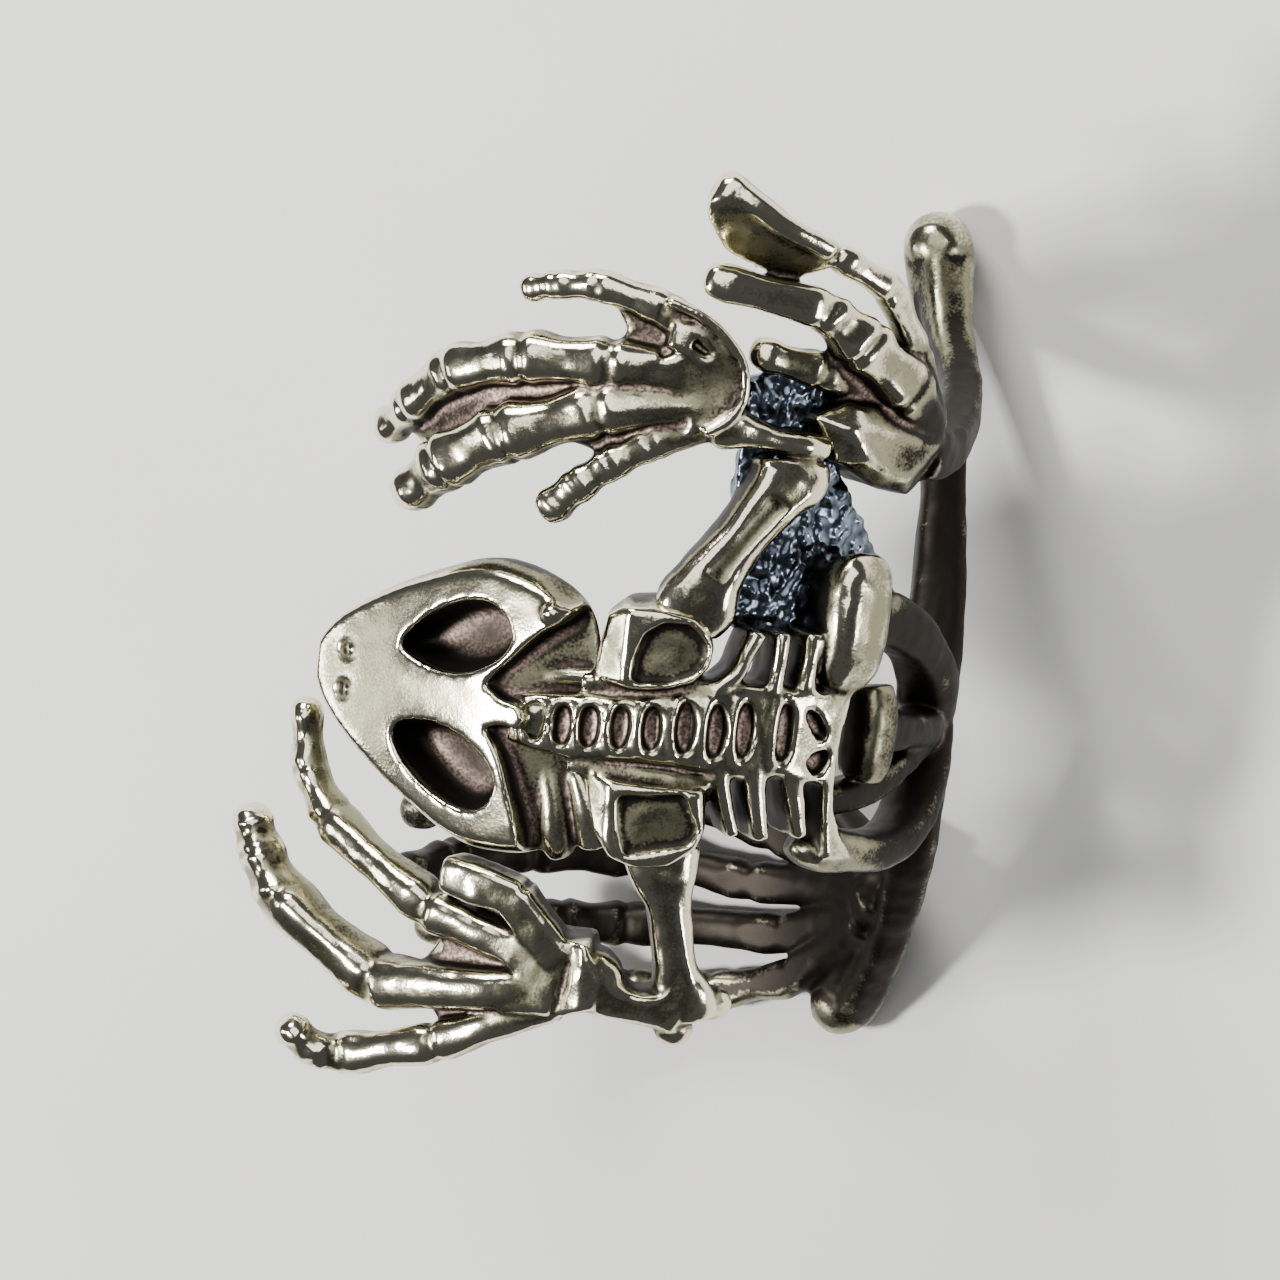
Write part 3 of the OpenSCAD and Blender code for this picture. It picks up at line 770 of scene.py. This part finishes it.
UPPER_ILIUM = (
    (41, 4.0, 10.5, 1.05, 1.1), (50, 4.3, 10.4, 1.1, 1.05), (60, 3.7, 10.4, 1.0, 1.05),
    (71, 2.6, 10.4, 0.85, 1.05), (82, 1.2, 10.5, 0.95, 1.18), (91, 0.2, 10.5, 1.3, 1.18))
LOWER_ILIUM = (
    (39, -4.1, 10.5, 0.8, 1.15), (52, -4.6, 10.4, 0.75, 1.05), (65, -4.5, 10.4, 0.7, 1.05),
    (77, -3.8, 10.4, 0.75, 1.1), (86, -2.4, 10.5, 0.9, 1.18), (92, -0.8, 10.5, 1.2, 1.18))
UROSTYLE = (
    (52, 0, 10.4, 0.9, 1.0), (64, -0.2, 10.3, 0.7, 0.85),
    (78, -0.5, 10.3, 0.75, 0.9), (90, -0.6, 10.4, 1.1, 1.0))
UROSTYLE_BRACE = (
    (35, -2.7, 10.0, 0.6, 0.7), (56, -2.3, 10.0, 0.65, 0.7),
    (70, -1.6, 10.1, 0.55, 0.7), (84, -0.9, 10.3, 0.6, 0.8))
END_PLATE = ((49.6, -1.7, 10.5, 0.7, 0.85), (49.7, -0.9, 10.65, 0.85, 1.0), (49.8, 0.8, 10.65, 0.85, 1.0),
             (49.8, 1.75, 10.5, 0.7, 0.85))
KNOB = ((33.5, -4.1, 10.2, 0.35, 0.6), (36, -4.35, 10.4, 0.55, 0.9), (41, -4.6, 10.5, 0.55, 0.95),
        (47, -4.75, 10.4, 0.5, 0.8))
HORN = ((38, 2.4, 10.5, 0.9, 1.3), (38.2, 3.3, 10.9, 1.2, 1.5), (38.5, 5.5, 10.9, 1.25, 1.5),
        (38.7, 6.2, 10.85, 1.15, 1.4), (38.8, 6.6, 10.7, 0.75, 1.1))
UPPER_BLADE = ((-11.3, 1.75), (-11.0, 2.3), (-9.6, 4.2), (-6.5, 4.75), (-0.7, 4.85), (6.5, 4.6), (9.6, 4.1),
               (11.0, 3.4), (10.2, 2.6), (7.5, 1.95), (3.2, 1.65), (-3.8, 1.5))
UPPER_PANEL = ((-4.0, 1.95), (-3.8, 2.8), (-2.2, 3.75), (1.0, 4.25), (5.8, 4.25), (9.2, 3.6), (9.5, 3.1),
               (7.7, 2.35), (3.1, 1.95), (-2.6, 1.8))
LOWER_BLADE = ((-11.0, -1.6), (12.0, -1.7), (12.9, -3.3), (11.6, -4.1), (7.0, -4.9), (0.6, -5.1),
               (-4.8, -4.75), (-8.4, -3.8), (-10.4, -2.6))
LOWER_PANEL = ((-4.4, -2.3), (7.8, -1.95), (11.3, -3.4), (9.8, -3.95), (4.1, -4.25), (-2.0, -4.6),
               (-3.6, -3.6))
# Ledges between the spine and the shoulder blades
LEDGES = (((-13, 1.55, 10.7, 0.35, 0.75), (0, 1.6, 10.7, 0.35, 0.8), (11, 1.75, 10.7, 0.4, 0.85)),
          ((-14, -1.5, 10.7, 0.4, 0.8), (0, -1.6, 10.75, 0.35, 0.85), (12.5, -1.75, 10.75, 0.35, 0.85)))


def trunk_parts():
    seat, base, top = seat_r(), base_r(), top_r()
    mid, half = (seat + top) / 2, (top - seat) / 2
    parts = [band([(a, low, high, base, top) for a, low, high in SPINE])]
    # A bowed rim stands along each pit, on the side towards the skull
    for a, low, high in SPINE_PITS:
        parts.append(bone([
            (a - 1.8, low, top - 0.15, 0.16, 0.26), (a - 2.5, (low + high) / 2, top - 0.1, 0.18, 0.26),
            (a - 1.8, high, top - 0.15, 0.16, 0.26)], sides=10))
    for rib in RIBS:
        parts.append(bone([(a, y, mid, wide, half) for a, y, wide in rib], boxy=0.6))
    parts.append(plate(SACRUM, base, top + 0.04, ((0.9, 1.0), (1.0, 0.97))))
    parts += [bone(rows) for rows in (UPPER_ILIUM, LOWER_ILIUM, UROSTYLE, UROSTYLE_BRACE) + LEDGES]
    parts += [bone(rows, boxy=boxy) for rows, boxy in ((END_PLATE, 0.75), (KNOB, 0.75), (HORN, 0.66))]
    # Each shoulder blade slopes down towards the skull from the place slope_from
    for points, high, slope_from in ((UPPER_BLADE, 12.2, -5.0), (LOWER_BLADE, 12.1, -5.3)):
        blade = plate(points, base, high, ((0.6, 1.0), (0.85, 0.95), (1.0, 0.86)))
        parts.append(shave(blade, flat(slope_from, 0, high), (-0.62, 0, 0.78)))
    # Roots of the blades beside the spine
    parts += [lump(1, side * 1.5, mid, 0.85, long=2.4) for side in (1, -1)]
    return parts


def trunk_hollows():
    above, top = top_r() + PIT_ABOVE, top_r()
    cutters = []
    for a, low, high in SPINE_PITS:
        centre = flat(a, (low + high) / 2, ROLL_R)
        points = [(centre.x + u * PIT_HALF, centre.y + v * (high - low) / 2) for u, v in PIT_SHAPE]
        cutters.append(prism(points, above - ROLL_R, top - PIT_DEPTH - ROLL_R, PIT_TAPER))
    cutters += [plate(pit, above, top - SACRUM_PIT_DEPTH, PIT_TAPER) for pit in SACRUM_PITS]
    # Sunk panels of the shoulder blades, down to their floors
    cutters += [plate(panel, 12.8, floor, ((0.6, 1.0), (1.0, 0.9)))
                for panel, floor in ((UPPER_PANEL, 11.85), (LOWER_PANEL, 11.8))]
    return cutters


# Tables of the arms. Fingers are joints of (a, y, r, half width)

UPPER_HUMERUS = (
    (5.4, 3.9, 10.6, 1.2, 1.1), (6.8, 4.8, 10.7, 1.45, 1.2), (9.2, 5.9, 10.75, 1.15, 1.15),
    (13.6, 7.3, 10.75, 0.92, 1.1), (19, 8.8, 10.75, 1.1, 1.15), (22.2, 9.6, 10.7, 1.45, 1.15),
    (22.8, 10.15, 10.6, 1.35, 1.0))
# Sharp edge and shallow valley down the humerus
UPPER_EDGE = ((6, 4.6, 11.5, 0.2, 0.3), (12.5, 6.4, 11.6, 0.2, 0.3), (18, 7.9, 11.65, 0.2, 0.3),
              (25, 9.2, 11.6, 0.22, 0.3))
UPPER_VALLEY = ((8.8, 5.9, 12.24, 0.55, 0.5), (13.4, 7.4, 12.22, 0.5, 0.5), (19, 8.95, 12.24, 0.6, 0.5))
UPPER_FOREARM = (
    (6.5, 11.3, 10.7, 0.75, 1.0), (9.5, 11.35, 10.75, 0.85, 1.05), (14, 11.2, 10.7, 0.58, 0.95),
    (20, 10.95, 10.7, 0.42, 0.9), (25, 10.85, 10.7, 0.5, 0.95), (29, 10.75, 10.6, 0.42, 0.8))
UPPER_FINGERS = (
    ((6, 13.9, 10.7, 0.7), (-5, 15.4, 10.85, 0.62), (-18, 15.9, 10.95, 0.56), (-26, 15.7, 11.0, 0.54),
     (-32, 15.4, 11.0, 0.5)),
    ((5, 13.2, 10.7, 0.8), (-14, 13.2, 10.9, 0.85), (-31, 12.95, 11.1, 0.92), (-47, 12.0, 11.3, 0.85),
     (-59, 10.3, 11.4, 0.72), (-68, 9.1, 11.5, 0.66)),
    ((6, 12.2, 10.7, 0.8), (-15, 11.5, 10.9, 0.9), (-33, 10.1, 11.2, 1.05), (-46, 8.6, 11.5, 0.98),
     (-55, 7.1, 11.7, 0.75)),
    ((6, 11.5, 10.7, 0.75), (-5, 10.4, 10.85, 0.6), (-12, 9.55, 10.95, 0.58), (-17.5, 8.7, 11.0, 0.62),
     (-23, 7.65, 11.0, 0.66)))
UPPER_PALM = ((-4, 14.0), (-3.0, 15.2), (2.3, 15.1), (6.8, 14.5), (10.3, 13.5), (10.7, 12.5), (8.4, 11.65),
              (4.4, 11.0), (1.5, 10.7), (2.0, 11.7), (-8, 11.6), (5.0, 12.5), (-10, 12.7), (-10, 13.6))
UPPER_PALM_RIM = ((-4, 15.75), (2.1, 15.3), (6.8, 14.6), (10.3, 13.55), (10.7, 12.5), (8.4, 11.65),
                  (4.4, 11.1))
UPPER_PALM_PITS = (((-6.2, 14.2), (-0.4, 13.95), (-4.8, 13.55)),
                   ((1.0, 14.6), (4.6, 14.0), (3.6, 13.8), (0.6, 14.1)))
# Sunk webs between the fingers, with their level
UPPER_WEBS = (
    (((-15, 13.4), (-1, 13.6), (1, 14.6), (-5, 15.2), (-15, 15.3), (-12, 14.4)), 10.95),
    (((6, 12.9), (-12, 12.9), (-30, 12.6), (-45, 11.6), (-56, 10.2), (-64, 9.0), (-57, 8.6), (-46, 9.6),
      (-33, 10.7), (-18, 11.6), (6, 12.2)), 11.15),
    (((3, 11.9), (-14, 11.1), (-24, 10.2), (-13, 9.8), (-5, 10.4), (3, 11.2)), 11.05))
LOWER_HUMERUS = (
    (5.0, -4.3, 10.7, 1.4, 1.1), (5.7, -5.1, 10.75, 1.25, 1.1), (7.4, -6.2, 10.7, 0.85, 1.05),
    (8.8, -7.5, 10.7, 0.76, 1.0), (10.2, -8.8, 10.7, 0.8, 1.05), (12.5, -9.9, 10.7, 1.15, 1.05),
    (13.3, -10.5, 10.6, 1.1, 1.0))
LOWER_FOREARM = (
    (-9, -9.4, 10.75, 1.2, 1.1), (-5.5, -9.5, 10.75, 1.25, 1.15), (-2, -9.95, 10.7, 0.92, 1.05),
    (2, -10.2, 10.7, 0.68, 1.0), (6, -10.25, 10.7, 0.74, 1.0), (11, -10.3, 10.7, 1.0, 1.05))
# Sharp edges down the humerus and along the forearm
LOWER_EDGES = (
    ((4.5, -5.0, 11.5, 0.2, 0.3), (8.2, -6.2, 11.5, 0.18, 0.3), (10.2, -7.6, 11.45, 0.18, 0.3),
     (13, -9.4, 11.5, 0.2, 0.3)),
    ((-4, -9.0, 11.6, 0.2, 0.3), (0.5, -9.75, 11.5, 0.18, 0.3), (7, -9.85, 11.5, 0.18, 0.3),
     (9.8, -9.3, 11.45, 0.18, 0.3)))
# The thumb is two plain blocks, bent sharply
LOWER_THUMB = (
    ((-12, -8.8, 10.9, 0.74, 0.9), (-17, -7.7, 11.1, 0.7, 0.8), (-21.5, -6.7, 11.3, 0.72, 0.75)),
    ((-20.5, -6.75, 11.25, 0.66, 0.75), (-28, -6.5, 11.4, 0.78, 0.8), (-35.5, -6.35, 11.45, 0.72, 0.75)))
LOWER_FINGERS = (
    ((-13, -9.0, 10.9, 0.72), (-40, -7.9, 11.2, 0.82), (-66, -5.6, 12.5, 0.74), (-72, -4.1, 13.1, 0.64),
     (-74, -1.9, 13.3, 0.58)),
    ((-12, -10.0, 10.9, 0.72), (-51, -11.2, 11.5, 1.0), (-69, -8.8, 14.0, 0.92), (-73.5, -7.4, 14.6, 0.84),
     (-76, -6.3, 14.9, 0.72)),
    ((-12, -10.6, 10.8, 0.6), (-36, -12.9, 11.0, 0.72), (-55, -14.2, 12.1, 0.78), (-58, -14.2, 13.1, 0.65),
     (-60, -13.4, 14.0, 0.6)))
LOWER_PALM = ((-8.3, -7.9), (-12, -11.0), (-22, -11.2), (-27, -10.4), (-19, -9.6), (-26, -8.8), (-24, -8.1),
              (-15, -7.9))
LOWER_WRIST = ((-10.3, -7.95), (-6.4, -7.9), (-3.6, -9.1), (-4.0, -10.5), (-11.8, -11.0), (-11.8, -9.2))
LOWER_WEBS = (
    (((-14, -8.2), (-36, -8.1), (-44, -10.3), (-14, -10.3)), 11.0),
    (((-12, -10.4), (-42, -11.5), (-36, -12.6), (-20, -11.8)), 10.9),
    (((-14, -8.6), (-32, -7.6), (-28, -6.8), (-20, -7.2)), 10.9))


def upper_arm_parts():
    base, top = base_r(), top_r()
    parts = [bone(UPPER_HUMERUS), bone(UPPER_FOREARM), plate(UPPER_PALM, base, top - 0.1)]
    parts.append(bone([(a, y, top - 0.2, 0.2, 0.45) for a, y in UPPER_PALM_RIM], sides=12))
    parts += [plate(web, base, level) for web, level in UPPER_WEBS]
    # Knob of the wrist and corners of the elbow
    parts += [lump(9.4, 11.35, 11.2, 0.55), lump(27.5, 9.7, 10.7, 0.6), lump(17.5, 9.9, 10.7, 0.5)]
    parts.append(bone(UPPER_EDGE, sides=10))
    return parts + [digit(joints) for joints in UPPER_FINGERS]


def upper_arm_hollows():
    """The valley down the humerus, and the dish and pits of the palm."""
    return [bone(UPPER_VALLEY, boxy=0.8), lump(3.5, 13.0, 11.72, 1.3, long=1.3, high=0.16)] + \
        [plate(pit, 12, 11.2) for pit in UPPER_PALM_PITS]


def lower_arm_parts():
    base, top = base_r(), top_r()
    parts = [bone(LOWER_HUMERUS), bone(LOWER_FOREARM)]
    # Two corners of the elbow, and the swelling at the shoulder
    parts += [lump(19, -10.05, 10.7, 0.65), lump(11.2, -11.05, 10.7, 0.72),
              lump(6.3, -5.2, 11.45, 0.45, long=1.8)]
    parts.append(plate(LOWER_PALM, base, top))
    parts.append(shave(plate(LOWER_WRIST, base, 11.95), flat(-7.2, 0, 11.95), (-0.55, 0, 0.83)))
    parts += [plate(web, base, level) for web, level in LOWER_WEBS]
    parts += [bone(edge, sides=10) for edge in LOWER_EDGES]
    parts += [bone(stations, boxy=0.4) for stations in LOWER_THUMB]
    return parts + [digit(joints) for joints in LOWER_FINGERS]


# Tables of the legs

UPPER_FEMUR = (
    (88, 0.8, 10.5, 1.2, 1.18), (95, 3.5, 10.6, 0.9, 1.1), (107, 8.5, 10.8, 0.75, 0.85),
    (118, 13.5, 11.1, 0.9, 0.95), (124, 16.4, 11.3, 1.2, 1.2), (125, 17.4, 11.3, 1.0, 1.0))
UPPER_SHIN = (
    (122, 16.2, 11.2, 1.0, 1.1), (112, 13.8, 10.8, 0.8, 0.85), (98, 12.2, 10.6, 0.75, 0.8),
    (80, 11.0, 10.5, 0.8, 0.85), (66, 10.4, 10.5, 1.0, 1.0), (56, 10.5, 10.6, 1.05, 1.05))
LOWER_FEMUR = (
    (88, -3.0, 10.5, 1.1, 1.15), (94, -5.6, 10.6, 0.85, 1.0), (106, -9.0, 10.8, 0.7, 0.8),
    (119, -12.2, 11.1, 0.8, 0.85), (127, -13.6, 11.3, 1.05, 1.1), (130, -14.1, 11.3, 0.8, 0.8))
LOWER_SHIN = (
    (128, -13.2, 11.1, 0.9, 1.0), (124, -11.8, 10.8, 0.7, 0.8), (117, -9.9, 10.6, 0.75, 0.9),
    (110, -8.2, 10.5, 1.1, 1.1))
# Lumps of (a, y, r, half width)
UPPER_KNEE = (124, 16.9, 11.2, 1.32)
LOWER_KNEE = (127.5, -13.6, 11.15, 1.24)
LOWER_ANKLE = (112, -8.3, 10.5, 1.1)
ANKLE = ((25.5, 11.9), (32.8, 12.5), (43.3, 12.3), (53.5, 11.9), (60, 11.2), (64, 10.2), (60, 9.2),
         (53.2, 8.9), (40.6, 9.4), (31.4, 10.3))
# Slanting faces of the ankle: a place on each, and the way it faces
ANKLE_FACES = (((44, 11.3, 11.9), (0.15, 0.6, 0.78)), ((34, 10.4, 11.7), (-0.45, -0.5, 0.74)),
               ((50, 10.0, 11.7), (0.4, -0.45, 0.8)))
UPPER_TOES = (
    ((57, 11.6, 10.6, 0.85), (49, 14.3, 10.9, 0.55), (38.5, 16.7, 11.3, 0.5), (27.5, 17.7, 11.2, 0.5)),
    ((56, 11.2, 10.7, 0.95), (46, 13.0, 11.0, 0.95), (33, 14.75, 11.2, 0.9), (25, 15.85, 11.25, 0.72),
     (4, 16.6, 11.3, 0.66)),
    ((50, 11.6, 10.3, 0.85), (43, 12.6, 10.3, 0.75), (28, 13.5, 10.3, 0.65), (15, 14.0, 10.2, 0.6)))
TOE_PAD = ((0.8, 19.6), (2.5, 20.4), (5.3, 20.6), (8.4, 20.2), (17.6, 18.95), (25.4, 18.25), (25.6, 17.4),
           (19.7, 16.8), (10.9, 16.8), (4.8, 17.7), (1.0, 18.8))
# Places along the pad's ridge, and its half width and half depth
TOE_PAD_RIDGE = ((4.6, 20.1, 11.5), (8.4, 19.6, 11.7), (15.3, 18.75, 11.8), (24.2, 18.0, 11.7))
TOE_PAD_RIDGE_HALF = (0.4, 0.42)
LOWER_TOES = (
    ((113, -7.6, 10.4, 1.0), (140, -5.0, 10.0, 0.75), (180, -3.4, 10.6, 0.95), (194, -3.2, 10.4, 0.85),
     (212, -3.7, 10.4, 0.8), (228, -4.6, 10.4, 0.75)),
    ((114, -8.1, 10.4, 1.0), (146, -7.3, 10.0, 0.75), (180, -6.4, 10.6, 0.95), (198, -6.4, 10.4, 0.85),
     (220, -6.9, 10.4, 0.8), (236, -7.4, 10.4, 0.75)),
    ((115, -8.5, 10.4, 1.0), (151, -9.5, 10.0, 0.75), (180, -9.3, 10.4, 0.85), (203, -9.3, 10.4, 0.85),
     (224, -9.6, 10.4, 0.8), (238, -9.9, 10.4, 0.75)),
    ((115, -9.0, 10.4, 1.0), (140, -11.3, 10.0, 0.75), (180, -12.1, 10.4, 0.85), (194, -12.2, 10.4, 0.85),
     (214, -12.2, 10.4, 0.8), (228, -12.2, 10.4, 0.75)),
    ((114, -9.4, 10.4, 1.0), (136, -12.8, 10.0, 0.75), (158, -14.3, 10.0, 0.75), (178, -14.8, 10.2, 0.8),
     (196, -14.8, 10.3, 0.78), (208, -14.6, 10.3, 0.72)))
# Web behind the raised arm, the ribs and the foot: a, low y, high y, and how far it stands off the seat
WEB = ((13, 4.1, 12.9), (19, 3.7, 13.5), (30, 3.6, 13.8), (33, 3.7, 11.6), (39, 3.9, 9.2), (49, 3.9, 6.9),
       (58, 3.3, 5.0))
WEB_HEIGHT = 0.95


def upper_leg_parts():
    ankle = plate(ANKLE, base_r(), 11.9, ((0.75, 1.0), (1.0, 0.72)))
    for place, facing in ANKLE_FACES:
        shave(ankle, flat(*place), facing)
    pad = plate(TOE_PAD, 10.6, 12.0, ((0.55, 1.0), (0.85, 0.94), (1.0, 0.8)))
    shave(pad, flat(13.5, 18.75, 11.9), (-0.2, -0.55, 0.8))
    ridge = bone([row + TOE_PAD_RIDGE_HALF for row in TOE_PAD_RIDGE])
    return [bone(UPPER_FEMUR), bone(UPPER_SHIN), ankle, pad, ridge, lump(*UPPER_KNEE)] + \
        [digit(joints, 0.55) for joints in UPPER_TOES]


def lower_leg_parts():
    return [bone(LOWER_FEMUR), bone(LOWER_SHIN), lump(*LOWER_KNEE), lump(*LOWER_ANKLE)] + \
        [digit(joints, 0.8) for joints in LOWER_TOES]


def web_parts():
    return [band([(a, low, high, base_r(), seat_r() + WEB_HEIGHT) for a, low, high in WEB])]


# Operators


class SkullOperator(bpy.types.Operator):
    """Models the skull with its eye sockets, temple hollows and nostrils"""
    bl_idname = "ring.skull"
    bl_label = "Skull"

    def execute(self, context):
        head = fuse(join(skull_parts()))
        carve(head, fuse(join(skull_hollows())))
        cast("skull", [place_skull(join([nostrils(dome(head))] + skull_folds()))], rolled=False, wavy=0.3)
        return {"FINISHED"}


class TrunkOperator(bpy.types.Operator):
    """Models the spine, ribs, sacrum, pelvis and shoulder blades"""
    bl_idname = "ring.trunk"
    bl_label = "Trunk"

    def execute(self, context):
        cast("trunk", trunk_parts(), trunk_hollows())
        return {"FINISHED"}


class ArmsOperator(bpy.types.Operator):
    """Models the raised and the lowered arm with their hands"""
    bl_idname = "ring.arms"
    bl_label = "Arms"

    def execute(self, context):
        cast("upper_arm", upper_arm_parts(), upper_arm_hollows())
        cast("lower_arm", lower_arm_parts())
        return {"FINISHED"}


class LegsOperator(bpy.types.Operator):
    """Models the hind legs with their feet"""
    bl_idname = "ring.legs"
    bl_label = "Legs"

    def execute(self, context):
        cast("upper_leg", upper_leg_parts())
        cast("lower_leg", lower_leg_parts())
        return {"FINISHED"}


class WebOperator(bpy.types.Operator):
    """Models the pebbled web behind the raised arm"""
    bl_idname = "ring.web"
    bl_label = "Web"

    def execute(self, context):
        cast("web", web_parts(), material=blackened_web(), pebbled=True)
        return {"FINISHED"}


# Camera, from the photo: 10 degrees above the ring's equator, rolled 6 degrees, 220 mm away
CAMERA_RISE = math.radians(10)
CAMERA_ROLL = math.radians(6)
CAMERA_AWAY = 220
CAMERA_LENS = 162.1
# How far the middle of the view lies right of and above the ring's centre, mm
CAMERA_AIM = (-0.458, 1.374)

# Lights: name, direction as right, up and towards the camera, side in mm, power in watts
LIGHTS = (
    ("left_softbox", (-0.845, -0.16, 0.51), 60, 2.8),
    ("left_strip", (-0.99, -0.1, 0.02), 90, 0.25),
    ("upper_softbox", (-0.42, 0.8, 0.45), 170, 2.0),
    ("front_fill", (-0.15, 0.3, 0.94), 330, 0.8),
    ("right_strip", (0.8, -0.3, 0.52), 90, 0.4),
)
LIGHT_AWAY = 400
SKY = "B9BEC6"
SKY_STRENGTH = 0.14
FLOOR_SIDE = 3000


class StageOperator(bpy.types.Operator):
    """Lays the floor and sets the lights and the camera"""
    bl_idname = "ring.stage"
    bl_label = "Stage"

    def execute(self, context):
        scene = context.scene
        ready()
        bpy.ops.mesh.primitive_plane_add(size=FLOOR_SIDE * MM, location=(0, 0, CAD_BOX[0].z))
        floor = settle(context.active_object)
        floor.name = "floor"
        floor.data.materials.append(pale_floor())
        turn = sizes().turn
        front = Vector((math.sin(turn), 0, math.cos(turn)))
        along = Vector((math.cos(turn), 0, -math.sin(turn)))
        back = front * math.cos(CAMERA_RISE) + Vector((0, math.sin(CAMERA_RISE), 0))
        level = Vector((0, math.cos(CAMERA_RISE), 0)) - front * math.sin(CAMERA_RISE)
        right = along * math.cos(CAMERA_ROLL) + level * math.sin(CAMERA_ROLL)
        up = level * math.cos(CAMERA_ROLL) - along * math.sin(CAMERA_ROLL)
        eye = (right * CAMERA_AIM[0] + up * CAMERA_AIM[1] + back * CAMERA_AWAY) * MM
        facing = Matrix((right, up, back)).transposed().to_4x4()
        data = bpy.data.cameras.new("camera")
        data.lens = CAMERA_LENS
        data.sensor_width = 36
        data.clip_start, data.clip_end = 0.01, 10
        camera = bpy.data.objects.new("camera", data)
        scene.collection.objects.link(camera)
        camera.matrix_world = Matrix.Translation(eye) @ facing
        scene.camera = camera
        for name, (x, y, z), side, power in LIGHTS:
            lamp = bpy.data.lights.new(name, "AREA")
            lamp.size = side * MM
            lamp.energy = power
            light = bpy.data.objects.new(name, lamp)
            scene.collection.objects.link(light)
            way = (right * x + up * y + back * z).normalized()
            light.location = way * LIGHT_AWAY * MM
            light.rotation_euler = way.to_track_quat("Z", "Y").to_euler()
        world = bpy.data.worlds.new("studio")
        world.use_nodes = True
        sky = world.node_tree.nodes["Background"]
        sky.inputs["Color"].default_value = linear(SKY) + (1,)
        sky.inputs["Strength"].default_value = SKY_STRENGTH
        scene.world = world
        return {"FINISHED"}


class RingPanel(bpy.types.Panel):
    """Lists the ring's pieces"""
    bl_idname = "VIEW3D_PT_ring"
    bl_label = "Frog skeleton ring"
    bl_space_type = "VIEW_3D"
    bl_region_type = "UI"
    bl_category = "Ring"

    def draw(self, context):
        for group in (context.scene.ring_sizes, context.scene.ring_finish):
            for name in group.__annotations__:
                self.layout.prop(group, name)
        for operator in OPERATORS:
            self.layout.operator(operator.bl_idname)


OPERATORS = (SkullOperator, TrunkOperator, ArmsOperator, LegsOperator, WebOperator, StageOperator)
CLASSES = (RingSizes, RingFinish) + OPERATORS + (RingPanel,)


def register():
    for item in CLASSES:
        bpy.utils.register_class(item)
    bpy.types.Scene.ring_sizes = PointerProperty(type=RingSizes)
    bpy.types.Scene.ring_finish = PointerProperty(type=RingFinish)


def unregister():
    del bpy.types.Scene.ring_finish
    del bpy.types.Scene.ring_sizes
    for item in reversed(CLASSES):
        bpy.utils.unregister_class(item)


def main():
    register()
    bpy.ops.ring.skull()
    bpy.ops.ring.trunk()
    bpy.ops.ring.arms()
    bpy.ops.ring.legs()
    bpy.ops.ring.web()
    bpy.ops.ring.stage()


if __name__ == "__main__":
    main()
